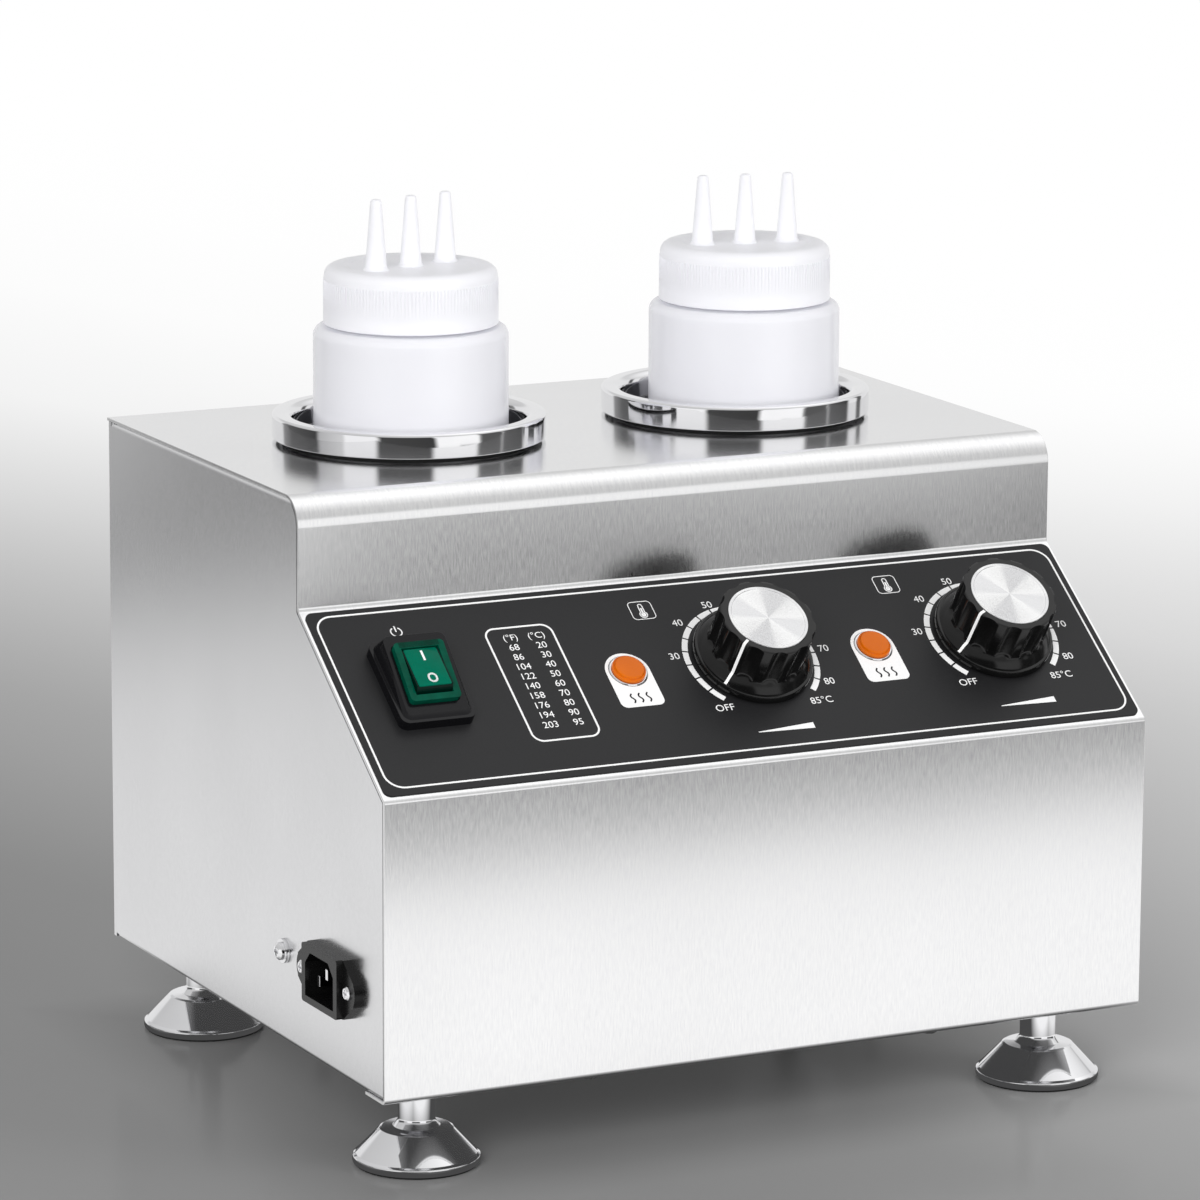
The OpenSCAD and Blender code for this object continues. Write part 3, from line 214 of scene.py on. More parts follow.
@dataclass(frozen=True)
class Finish:
    """A surface finish made from noise on object coordinates.

    Attributes:
        name: the material's name.
        colour: the main colour.
        shade: the second colour that the noise mixes in.
        grain: how fine the pattern is.
        rough: lowest and highest roughness.
        relief: height of the pattern's bump in millimetres.
        metallic, scatter, glow, index: constants of the shader; glow is emission in the main colour, which on
            print and plastic is painted light.
        detail: the noise's detail.
        blotch: how much wide clouds darken the colour.
        mix_span, rough_span: the noise at which colour and roughness begin and end.
        cloud: scale and detail of the wide clouds.
        skin: how deep light scatters, in metres.
    """

    name: str
    colour: Point3
    shade: Point3
    grain: Grain = Grain.FINE
    rough: Point2 = (0.4, 0.5)
    relief: float = 0.01
    metallic: float = 0.0
    scatter: float = 0.0
    glow: float = 0.0
    index: float = 1.5
    detail: float = 4.0
    blotch: float = 0.0
    mix_span: Point2 = (0.3, 0.7)
    rough_span: Point2 = (0.25, 0.75)
    cloud: Point2 = (14.0, 2.0)
    noise_rough: float = 0.6
    skin: float = 0.006

    def material(self) -> bpy.types.Material:
        """The finish as a material, made once.

        Returns:
            The material with its nodes.
        """
        label = f"{self.name}_look"
        kept = bpy.data.materials.get(label)
        if kept:
            return kept
        made = bpy.data.materials.new(label)
        made.use_nodes = True
        tree, shader = Tree(made.node_tree), made.node_tree.nodes["Principled BSDF"]
        place = tree.add("TexCoord").outputs["Object"]
        stretch = tree.add("Mapping", {"Vector": place, "Scale": self.grain.value})
        noise = tree.noise(stretch.outputs["Vector"], 1.0, self.detail, self.noise_rough)
        tint = self.tint(tree, noise)
        if self.blotch > 0.0:
            spread = tree.ranged(tree.noise(place, *self.cloud), self.mix_span, (1.0 - self.blotch, 1.0))
            tint = tree.dimmed(tint, spread)
        # Emission Strength is the glow: on print and plastic it is painted light
        looks = {"Base Color": tint, "Roughness": tree.ranged(noise, self.rough_span, self.rough),
                 "Metallic": self.metallic, "Subsurface Weight": self.scatter,
                 "Subsurface Radius": (1.0, 1.0, 1.0), "Subsurface Scale": self.skin, "IOR": self.index,
                 "Emission Color": (*self.colour, 1.0), "Emission Strength": self.glow}
        if self.relief > 0.0:
            looks["Normal"] = tree.bump(noise, self.relief)
        for slot, value in {**looks, **self.extra(tree, place)}.items():
            tree.feed(shader.inputs[slot], value)
        return made

    def tint(self, tree: Tree, factor: Socket) -> Socket:
        """The shade and the colour mixed by a factor."""
        return tree.ramp(factor, list(zip(self.mix_span, (self.shade, self.colour))))

    def extra(self, tree: Tree, place: Socket) -> dict[str, Any]:
        """Inputs that a special finish sets its own way; a plain one has none."""
        return {}


@dataclass(frozen=True)
class SpunFinish(Finish):
    """Bright metal with turning marks round an axis.

    Attributes:
        centre: a point on the axis, in metres.
        tilt: the axis's turn about X, in radians.
        pitch: distance between two marks in millimetres.
        groove: depth of a mark in millimetres.
        painted_highlight_fan: painted highlights, bright sectors round the axis in the base colour, and their
            turn in radians.
    """

    centre: Point3 = (0.0, 0.0, 0.0)
    tilt: float = 0.0
    pitch: float = 0.45
    groove: float = 0.03
    painted_highlight_fan: Point2 = (4.0, 0.7)

    def extra(self, tree: Tree, place: Socket) -> dict[str, Any]:
        """Cuts round marks into the surface, and paints bright sectors round the axis into the base colour: a
        painted highlight.
        """
        settle = tree.add("Mapping", {"Vector": place}, vector_type="TEXTURE")
        tree.feed(settle.inputs["Location"], self.centre)
        tree.feed(settle.inputs["Rotation"], (self.tilt, 0.0, 0.0))
        at = tree.split(settle.outputs["Vector"])
        far = tree.math("SQRT", tree.math("ADD", *(tree.math("MULTIPLY", at[k], at[k]) for k in "XY")))
        wave = tree.math("SINE", tree.math("MULTIPLY", far, TURN / (self.pitch * MM)))
        # the base colour runs between shade and colour in sectors round the axis: a painted highlight of turned
        # metal
        painted_highlight_fan = tree.math("SINE", tree.math("MULTIPLY_ADD", tree.math("ARCTAN2", at["Y"], at["X"]), *self.painted_highlight_fan))
        return {"Normal": tree.bump(wave, self.groove),
                "Base Color": self.tint(tree, tree.ranged(painted_highlight_fan, (-1.0, 1.0)))}


STEEL_WRAP = Finish("steel_wrap", (0.90, 0.90, 0.90), (0.82, 0.82, 0.83), Grain.ALONG_SHEET,
                    (0.15, 0.21), 0.0016, metallic=1.0, detail=3.0, blotch=0.03)
STEEL_SIDE = Finish("steel_side", (0.86, 0.86, 0.87), (0.80, 0.80, 0.81), Grain.UPRIGHT,
                    (0.20, 0.26), 0.0012, metallic=1.0, detail=3.0, blotch=0.04)
# the well's steel is much darker than the cabinet's: painted shade for the inside of the deep well
WELL_STEEL_PAINTED_SHADE = Finish("well_steel", (0.38, 0.38, 0.39), (0.30, 0.30, 0.31), Grain.ROUND_WALL,
                    (0.30, 0.40), 0.0, metallic=1.0)
CHROME = Finish("chrome_polish", (0.90, 0.90, 0.91), (0.84, 0.84, 0.86), Grain.CLOUDY,
                (0.03, 0.07), 0.002, metallic=1.0, detail=2.0)
PLATED = Finish("plated_steel", (0.74, 0.74, 0.74), (0.60, 0.60, 0.60), Grain.FINE,
                (0.18, 0.32), 0.005, metallic=1.0)
PANEL_FILM = Finish("panel_film", (0.017, 0.017, 0.018), (0.012, 0.012, 0.013), Grain.FINE,
                    (0.42, 0.52), 0.004, index=1.36)
# the white print glows a little: painted light, since print gives off none
WHITE_PRINT_PAINTED_GLOW = Finish("white_print_painted_glow", (0.92, 0.92, 0.92), (0.86, 0.86, 0.86), Grain.FINE,
                     (0.45, 0.6), 0.003, glow=0.12)
DARK_PRINT = Finish("dark_print", (0.025, 0.025, 0.028), (0.015, 0.015, 0.016), Grain.FINE,
                    (0.45, 0.6), 0.003)
KNOB_BLACK = Finish("knob_black", (0.004, 0.004, 0.004), (0.003, 0.003, 0.003), Grain.COARSE,
                    (0.12, 0.20), 0.003, index=1.42)
SWITCH_BLACK = Finish("switch_black", (0.006, 0.006, 0.007), (0.004, 0.004, 0.005), Grain.FINE,
                      (0.14, 0.22), 0.004, index=1.33)
GREEN_FRAME = Finish("green_frame", (0.0, 0.085, 0.05), (0.0, 0.055, 0.032), Grain.COARSE,
                     (0.10, 0.2), 0.004, index=1.18)
GREEN_PLATE = Finish("green_plate", (0.0, 0.15, 0.09), (0.0, 0.13, 0.076), Grain.COARSE,
                     (0.16, 0.26), 0.004, index=1.12)
GREEN_DARK = Finish("green_dark", (0.0, 0.014, 0.009), (0.0, 0.010, 0.006), Grain.COARSE,
                    (0.14, 0.24), 0.004, index=1.2)
LAMP_ORANGE = Finish("lamp_orange", (0.70, 0.15, 0.003), (0.60, 0.12, 0.002), Grain.CLOUDY,
                     (0.05, 0.08), 0.0, glow=0.05, index=1.28)
LAMP_BODY = Finish("lamp_body", (0.10, 0.10, 0.10), (0.06, 0.06, 0.06), Grain.FINE, (0.5, 0.6), 0.01)
# bottle and cap glow a little: painted light that brightens the plastic evenly, since plastic gives off none
BOTTLE_MILK_PAINTED_GLOW = Finish("bottle_milk_painted_glow", (0.82, 0.82, 0.865), (0.81, 0.81, 0.855), Grain.CLOUDY,
                     (0.20, 0.24), 0.0, scatter=0.4, glow=0.07, index=1.45, detail=2.0)
CAP_MILK_PAINTED_GLOW = Finish("cap_milk_painted_glow", (0.83, 0.83, 0.865), (0.82, 0.82, 0.855), Grain.CLOUDY,
                  (0.30, 0.38), 0.0, scatter=0.35, glow=0.12, index=1.45, detail=2.0)
SEAL_FOAM = Finish("seal_foam", (0.80, 0.80, 0.83), (0.74, 0.74, 0.78), Grain.FINE, (0.6, 0.8), 0.03)
RUBBER = Finish("black_rubber", (0.020, 0.020, 0.020), (0.010, 0.010, 0.010), Grain.FINE,
                (0.6, 0.75), 0.02)
INLET_BLACK = Finish("inlet_black", (0.006, 0.006, 0.006), (0.004, 0.004, 0.004), Grain.FINE,
                     (0.22, 0.32), 0.006, index=1.36)
BRASS_TAB = Finish("brass_tab", (0.72, 0.55, 0.26), (0.60, 0.44, 0.20), Grain.COARSE,
                   (0.2, 0.35), 0.004, metallic=1.0)
COPPER = Finish("drawn_copper", (0.72, 0.38, 0.22), (0.55, 0.28, 0.16), Grain.COARSE,
                (0.25, 0.4), 0.004, metallic=1.0)
HEATER = Finish("heater_sheath", (0.52, 0.50, 0.45), (0.40, 0.38, 0.33), Grain.COARSE,
                (0.35, 0.5), 0.01, metallic=0.9)
THERMO_CASE = Finish("thermostat_case", (0.40, 0.38, 0.33), (0.30, 0.28, 0.25), Grain.COARSE,
                     (0.4, 0.55), 0.01, metallic=0.7)
IVORY = Finish("ivory_nylon", (0.72, 0.68, 0.56), (0.66, 0.62, 0.50), Grain.FINE, (0.4, 0.5), 0.01)
WIRE_RED = Finish("wire_red", (0.42, 0.05, 0.035), (0.34, 0.04, 0.03), Grain.FINE, (0.45, 0.6), 0.01)


# ---- frames and outlines ----------------------------------------------------------------------


@dataclass(frozen=True)
class CabinetSize:
    """Sizes that more than one sub-assembly needs."""

    width: float = 310.0
    depth: float = 257.0
    height: float = 205.5
    lift: float = 32.0
    setback: float = 74.5
    slope_low: float = 110.5
    slope_high: float = 164.5
    side_step: float = 2.75
    well_y: float = 167.0
    well_x: Point2 = (-69.0, 69.0)
    well_floor: float = 57.0
    knob_x: Point2 = (164.6, 265.7)
    lamp_x: Point2 = (114.3, 215.4)
    control_u: float = 47.9
    film: float = 0.5

    @property
    def slope(self) -> float:
        """Angle of the control slope in radians."""
        return math.atan2(self.slope_high - self.slope_low, self.setback)

    def body(self) -> Matrix:
        """From the cabinet's frame in millimetres to the row frame in metres."""
        shift = Matrix.Translation((self.side_step, -self.depth / 2.0, self.lift))
        return Matrix.Scale(MM, 4) @ shift

    def panel(self, x: float, u: float, h: float = 0.0, turn: float = 0.0) -> Matrix:
        """A frame on the control slope.

        Args:
            x: distance from the cabinet's left side.
            u: distance up the slope.
            h: height above the sheet.
            turn: turn about the slope's normal in degrees.

        Returns:
            The matrix from that frame to the row frame.
        """
        foot = Matrix.Translation((x - self.width / 2.0, 0.0, self.slope_low))
        return (self.body() @ foot @ Matrix.Rotation(self.slope, 4, "X")
                @ Matrix.Translation((0.0, u, h)) @ Matrix.Rotation(math.radians(turn), 4, "Z"))

    def at(self, x: float, y: float, z: float = 0.0, turn: float = 0.0) -> Matrix:
        """A level frame in the cabinet's own frame, turned about Z by degrees."""
        return (self.body() @ Matrix.Translation((x, y, z))
                @ Matrix.Rotation(math.radians(turn), 4, "Z"))


SIZE = CabinetSize()


def rounded(points: Sequence[Point3], steps: int) -> list[Point2]:
    """Rounds the corners of an open line.

    Args:
        points: x, y and the radius of each corner; the ends have radius 0.
        steps: segments of each bend.

    Returns:
        The points of the rounded line.
    """
    line: list[Point2] = []
    last = len(points) - 1
    for i, (x, y, radius) in enumerate(points):
        here = Vector((x, y))
        if radius <= 0.0 or i in (0, last):
            line.append((x, y))
            continue
        before = (Vector(points[i - 1][:2]) - here).normalized()
        after = (Vector(points[i + 1][:2]) - here).normalized()
        half = before.angle(after) / 2.0
        cut = radius / math.tan(half)
        centre = here + (before + after).normalized() * (radius / math.sin(half))
        start, end = here + before * cut - centre, here + after * cut - centre
        sweep = start.angle_signed(end)
        for k in range(steps + 1):
            arm = start.copy()
            arm.rotate(Matrix.Rotation(-sweep * k / steps, 2))
            line.append(tuple(centre + arm))
    return line


def round_box(width: float, length: float, radius: float, height: float, steps: int = 6) -> Loop:
    """A closed loop with round corners.

    Args:
        width, length, radius: sizes of the loop.
        height: its Z.
        steps: segments of each corner.

    Returns:
        The loop's points, anticlockwise.
    """
    loop: Loop = []
    for corner, (sx, sy) in enumerate(((1, 1), (-1, 1), (-1, -1), (1, -1))):
        cx, cy = sx * (width / 2.0 - radius), sy * (length / 2.0 - radius)
        for k in range(steps + 1):
            a = math.radians(90.0 * (corner + k / steps))
            loop.append(Vector((cx + radius * math.cos(a), cy + radius * math.sin(a), height)))
    return loop


def polar_loop(radius: Callable[[float], float], height: float, steps: int) -> Loop:
    """A closed loop whose radius depends on the angle."""
    return [Vector((radius(a) * math.cos(a), radius(a) * math.sin(a), height))
            for a in (TURN * k / steps for k in range(steps))]


def ring_loop(radius: float, height: float, steps: int) -> Loop:
    """A circle of points at a height."""
    return polar_loop(lambda _: radius, height, steps)


# ---- piece building ---------------------------------------------------------------------------


def placed(name: str, data: bpy.types.ID) -> Piece:
    """Puts a mesh, a lamp or a camera into the scene as an object."""
    made = bpy.data.objects.new(name, data)
    bpy.context.scene.collection.objects.link(made)
    return made


class Shape:
    """Collects faces in one mesh, each part placed by a matrix."""

    def __init__(self) -> None:
        """Starts empty."""
        self.mesh = bmesh.new()

    def loft(self, loops: Sequence[Loop], place: Matrix, closed: bool = False) -> "Shape":
        """Joins loops of equal length.

        Args:
            loops: the loops in order.
            place: from the loops' frame to the row frame.
            closed: joins the last loop to the first; otherwise both ends get a cap.

        Returns:
            The shape, for more parts.
        """
        part = bmesh.new()
        rows = [[part.verts.new(point) for point in loop] for loop in loops]
        pairs = list(zip(rows, rows[1:])) + ([(rows[-1], rows[0])] if closed else [])
        for low, high in pairs:
            count = len(low)
            for k in range(count):
                part.faces.new((low[k], low[(k + 1) % count], high[(k + 1) % count], high[k]))
        if not closed:
            part.faces.new(list(reversed(rows[0])))
            part.faces.new(rows[-1])
        return self.add(part, place)

    def lathe(self, line: Sequence[Point2], place: Matrix, steps: int = 128,
              closed: bool = False) -> "Shape":
        """Turns a line of radius and height about Z.

        Args:
            line: the half section; its ends may lie on the axis.
            place: from the lathe's frame to the row frame.
            steps: segments round the axis.
            closed: joins the line's last point to its first.

        Returns:
            The shape, for more parts.
        """
        part = bmesh.new()
        rows: list[list[bmesh.types.BMVert]] = []
        for radius, height in line:
            if radius < ON_AXIS:
                rows.append([part.verts.new((0.0, 0.0, height))])
            else:
                rows.append([part.verts.new(p) for p in ring_loop(radius, height, steps)])
        pairs = list(zip(rows, rows[1:])) + ([(rows[-1], rows[0])] if closed else [])
        for low, high in pairs:
            for k in range(steps):
                n = (k + 1) % steps
                corners = [low[k % len(low)], low[n % len(low)], high[n % len(high)], high[k % len(high)]]
                unique = list(dict.fromkeys(corners))
                if len(unique) > 2:
                    part.faces.new(unique)
        return self.add(part, place)

    def slab(self, outline: Sequence[Point2], thickness: float, place: Matrix) -> "Shape":
        """A flat outline given a thickness along Z."""
        low = [Vector((x, y, 0.0)) for x, y in outline]
        return self.loft([low, [p + Vector((0.0, 0.0, thickness)) for p in low]], place)

    def box(self, width: float, length: float, height: float, place: Matrix) -> "Shape":
        """A box that stands on its frame's origin."""
        w, l = width / 2.0, length / 2.0
        return self.slab([(w, l), (-w, l), (-w, -l), (w, -l)], height, place)

    def add(self, part: bmesh.types.BMesh, place: Matrix) -> "Shape":
        """Places a part and takes it in, with its faces turned outwards."""
        bmesh.ops.recalc_face_normals(part, faces=part.faces)
        bmesh.ops.transform(part, matrix=place, verts=part.verts)
        held = bpy.data.meshes.new("part")
        part.to_mesh(held)
        part.free()
        self.mesh.from_mesh(held)
        bpy.data.meshes.remove(held)
        return self

    def take(self, piece: Piece) -> "Shape":
        """Takes in a piece that is in the scene, which is used up."""
        self.mesh.from_mesh(piece.data)
        bpy.data.objects.remove(piece)
        return self

    def finish(self, name: str, smooth: float = 35.0) -> Piece:
        """Ends the shape.

        Args:
            name: the piece's name.
            smooth: the angle in degrees up to which an edge is smooth.

        Returns:
            The object, in the scene.
        """
        soften(self.mesh, smooth)
        data = bpy.data.meshes.new(name)
        self.mesh.to_mesh(data)
        self.mesh.free()
        return placed(name, data)


def soften(mesh: bmesh.types.BMesh, angle: float) -> None:
    """Makes faces smooth and edges over an angle in degrees sharp."""
    limit = math.radians(angle)
    for face in mesh.faces:
        face.smooth = True
    for edge in mesh.edges:
        edge.smooth = len(edge.link_faces) == 2 and edge.calc_face_angle(0.0) < limit


def bake(piece: Piece) -> Piece:
    """Applies a piece's modifiers to its mesh.

    Args:
        piece: the object.

    Returns:
        The same object with a plain mesh.
    """
    graph = bpy.context.evaluated_depsgraph_get()
    graph.update()
    plain = bpy.data.meshes.new_from_object(piece.evaluated_get(graph), depsgraph=graph)
    piece.modifiers.clear()
    piece.data = plain
    return piece


def bevelled(piece: Piece, width: float, segments: int, angle: float) -> Piece:
    """Rounds a piece's sharp edges.

    Args:
        piece: the object.
        width: width of the round in millimetres.
        segments: its segments.
        angle: edges over this angle in degrees are rounded.

    Returns:
        The same object.
    """
    edge = piece.modifiers.new("edge", "BEVEL")
    edge.width, edge.segments = width * MM, segments
    edge.limit_method = "ANGLE"
    edge.angle_limit = math.radians(angle)
    edge.harden_normals = False
    bake(piece)
    mesh = bmesh.new()
    mesh.from_mesh(piece.data)
    soften(mesh, angle)
    mesh.to_mesh(piece.data)
    mesh.free()
    # large flat faces keep their own normals right up to the rounds
    weigh = piece.modifiers.new("weigh", "WEIGHTED_NORMAL")
    weigh.weight = 100
    weigh.keep_sharp = True
    return bake(piece)


def cut(piece: Piece, tools: Iterable[Piece], operation: str = "DIFFERENCE") -> Piece:
    """Cuts tools out of a piece, or joins them to it.

    Args:
        piece: the object.
        tools: solids, which are used up.
        operation: DIFFERENCE or UNION.

    Returns:
        The same object.
    """
    for tool in tools:
        step = piece.modifiers.new("cut", "BOOLEAN")
        step.operation, step.solver, step.object = operation, "EXACT", tool
        bake(piece)
        bpy.data.objects.remove(tool)
    return piece


def dressed(piece: Piece, finish: Finish, rider: Rider, slot: str, *nodes: str) -> Piece:
    """Gives a piece its finish and its place in the frame.

    Args:
        piece: the object.
        finish: its finish.
        rider: the body that it moves with.
        slot: the record's material slot; not used.
        nodes: CAD nodes that it stands for.

    Returns:
        The same object.
    """
    piece.data.materials.clear()
    piece.data.materials.append(finish.material())
    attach(piece, rider.value)
    if nodes:
        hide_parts(*nodes)
    LOG.info("%s: %d faces, rides on %s", piece.name, len(piece.data.polygons), rider.value)
    return piece


def refined(node: str, edge: float, smooth: float, segments: int) -> Piece:
    """A clean copy of a CAD node with rounded edges.

    Args:
        node: the CAD node.
        edge: width of the rounds in millimetres; 0 leaves the edges.
        smooth: the angle in degrees up to which an edge is smooth.
        segments: segments of each round.

    Returns:
        The copy, in the scene.
    """
    mesh = bmesh.new()
    mesh.from_mesh(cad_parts[node].data)
    bmesh.ops.remove_doubles(mesh, verts=mesh.verts, dist=WELD * MM)
    bmesh.ops.dissolve_limit(mesh, angle_limit=math.radians(FLAT), verts=mesh.verts, edges=mesh.edges)
    soften(mesh, smooth)
    data = bpy.data.meshes.new(f"{node}_fine")
    mesh.to_mesh(data)
    mesh.free()
    piece = placed(f"{node}_fine", data)
    return bevelled(piece, edge, segments, max(smooth, 30.0)) if edge > 0.0 else piece


def stood_in(node: str, edge: float, finish: Finish, slot: str, rider: Rider = Rider.CHASSIS,
             smooth: float = 30.0, segments: int = 2) -> Piece:
    """A refined and dressed copy that stands for a CAD node.

    Args:
        node: the CAD node.
        edge: width of the rounds in millimetres; 0 leaves the edges.
        finish: its finish.
        slot: the record's material slot.
        rider: the body that it moves with.
        smooth: the angle in degrees up to which an edge is smooth.
        segments: segments of each round.

    Returns:
        The copy, in the scene.
    """
    return dressed(refined(node, edge, smooth, segments), finish, rider, slot, node)


def strip(points: Sequence[Point3], sheet: float, steps: int = 12) -> list[Point2]:
    """The closed outline of a bent sheet.

    Args:
        points: y, z and outside radius of the corners of its outer face; the sheet lies on their left.
        sheet: its thickness.
        steps: segments of each bend.

    Returns:
        The outline's points.
    """
    outer: list[Point2] = []
    inner: list[Point2] = []
    spots = [Vector(p[:2]) for p in points]
    heads = [(b - a).normalized() for a, b in zip(spots, spots[1:])]

    def put(spot: Vector, side: Vector) -> None:
        """Adds a pair of points across the sheet."""
        outer.append(tuple(spot))
        inner.append(tuple(spot + side * sheet))

    put(spots[0], Vector((-heads[0].y, heads[0].x)))
    for i in range(1, len(spots) - 1):
        head, nxt, radius = heads[i - 1], heads[i], points[i][2]
        turn = math.atan2(head.x * nxt.y - head.y * nxt.x, head.dot(nxt))
        side = math.copysign(1.0, turn)
        left = Vector((-head.y, head.x))
        start = spots[i] - head * radius * math.tan(abs(turn) / 2.0)
        centre = start + left * side * radius
        for k in range(steps + 1):
            arm = start - centre
            arm.rotate(Matrix.Rotation(turn * k / steps, 2))
            put(centre + arm, -arm.normalized() * side)
    put(spots[-1], Vector((-heads[-1].y, heads[-1].x)))
    return outer + inner[::-1]


# ---- repeated things by node tree -------------------------------------------------------------


@dataclass
class RepeatTree:
    """A node tree that sets a mesh at points and turns each copy away from an axis.

    Attributes:
        name: the tree's name.
        inputs: name and kind of its inputs.
    """

    name: str
    inputs: tuple[tuple[str, str], ...] = (
        ("Geometry", "Geometry"), ("Count", "Int"), ("Ring Radius", "Float"), ("First Angle", "Float"),
        ("Step Angle", "Float"), ("Rise", "Float"), ("Copy", "Object"), ("Finish", "Material"))

    def build(self) -> bpy.types.NodeTree:
        """Makes the tree with its named inputs.

        Returns:
            The tree.
        """
        made = bpy.data.node_groups.new(self.name, "GeometryNodeTree")
        for label, kind in self.inputs:
            made.interface.new_socket(label, in_out="INPUT", socket_type=f"NodeSocket{kind}")
        made.interface.new_socket("Geometry", in_out="OUTPUT", socket_type="NodeSocketGeometry")
        tree = Tree(made)
        source = tree.add("NodeGroupInput").outputs
        index = tree.add("GeometryNodeInputIndex").outputs[0]
        angle = tree.math("MULTIPLY_ADD", index, source["Step Angle"], source["First Angle"])
        spot = {axis: tree.math("MULTIPLY", source["Ring Radius"], tree.math(wave, angle))
                for axis, wave in (("X", "COSINE"), ("Y", "SINE"))}
        spot["Z"] = tree.math("MULTIPLY", index, source["Rise"])
        row = tree.add("GeometryNodeMeshLine", {"Count": source["Count"]}).outputs["Mesh"]
        move = tree.add("GeometryNodeSetPosition",
                        {"Geometry": row, "Position": tree.add("CombineXYZ", spot).outputs["Vector"]})
        copy = tree.add("GeometryNodeObjectInfo", {"Object": source["Copy"]}).outputs["Geometry"]
        spread = tree.add("GeometryNodeInstanceOnPoints",
                          {"Points": move.outputs["Geometry"], "Instance": copy,
                           "Rotation": tree.add("CombineXYZ", {"Z": angle}).outputs["Vector"]})
        real = tree.add("GeometryNodeRealizeInstances", {"Geometry": spread.outputs["Instances"]})
        paint = tree.add("GeometryNodeSetMaterial",
                         {"Geometry": real.outputs["Geometry"], "Material": source["Finish"]})
        tree.add("NodeGroupOutput", {"Geometry": paint.outputs["Geometry"]})
        return made

    def grow(self, name: str, copy: Piece, finish: Finish, place: Matrix, count: int, ring: float,
             step: float | None = None, rise: float = 0.0) -> Piece:
        """Repeats a mesh round an axis, or up it.

        Args:
            name: the new piece's name.
            copy: the mesh to repeat, in millimetres about the origin; it is used up.
            finish: its finish.
            place: from the ring's frame to the row frame.
            count: number of copies.
            ring: radius of the ring in millimetres.
            step: angle between two copies in degrees; a full ring if left out.
            rise: height from one copy to the next.

        Returns:
            The new piece with a plain mesh.
        """
        tree = bpy.data.node_groups.get(self.name) or self.build()
        made = placed(name, bpy.data.meshes.new(name))
        grown = made.modifiers.new("repeat", "NODES")
        grown.node_group = tree
        values = {"Count": count, "Ring Radius": ring, "First Angle": 0.0,
                  "Step Angle": math.radians(360.0 / count if step is None else step), "Rise": rise,
                  "Copy": copy, "Finish": finish.material()}
        for item in tree.interface.items_tree:
            if item.item_type == "SOCKET" and item.in_out == "INPUT" and item.name in values:
                grown[item.identifier] = values[item.name]
        bake(made)
        made.data.transform(place)
        bpy.data.objects.remove(copy)
        return made


REPEAT = RepeatTree("repeat_round_axis")


# ---- sub-assemblies ---------------------------------------------------------------------------


@dataclass
class Cabinet:
    """The folded cover, the side and rear sheet, the base plate and its screws."""

    sheet: float = 1.2
    fold: float = 2.2
    top_bend: float = 11.0
    toe: float = 17.0
    throat: float = 44.2
    edge: float = 0.18
    drill: float = 20.0

    def cover(self) -> Piece:
        """The sheet that forms the roof, the front and the slope."""
        s = SIZE
        line = strip([(s.depth, s.height, 0.0), (s.setback, s.height, self.top_bend),
                      (s.setback, s.slope_high, self.fold), (0.0, s.slope_low, self.fold),
                      (0.0, 0.0, self.fold), (self.toe, 0.0, 0.0)], self.sheet)
        loops = [[Vector((x, y, z)) for y, z in line] for x in (-s.width / 2.0, s.width / 2.0)]
        piece = Shape().loft(loops, s.body()).finish("cover_sheet", 25.0)
        drill = [(0.0, 0.0), (self.throat, 0.0), (self.throat, self.drill), (0.0, self.drill)]
        holes = [Shape().lathe(drill, s.at(x, s.well_y, s.height - self.drill / 2.0)).finish("hole")
                 for x in s.well_x]
        return bevelled(cut(piece, holes), self.edge, 2, 50.0)

    def build(self) -> None:
        """Builds and dresses the cabinet."""
        dressed(self.cover(), STEEL_WRAP, Rider.CHASSIS, "sheet_steel", "front_top_cover")
        for node, edge, finish, slot in (
                ("side_rear_shell", 0.15, STEEL_SIDE, "sheet_steel"),
                ("base_plate", 0.2, STEEL_WRAP, "sheet_steel"),
                ("base_screws", 0.12, PLATED, "fastener_steel"),
                ("foot_nuts", 0.3, PLATED, "fastener_steel")):
            stood_in(node, edge, finish, slot)


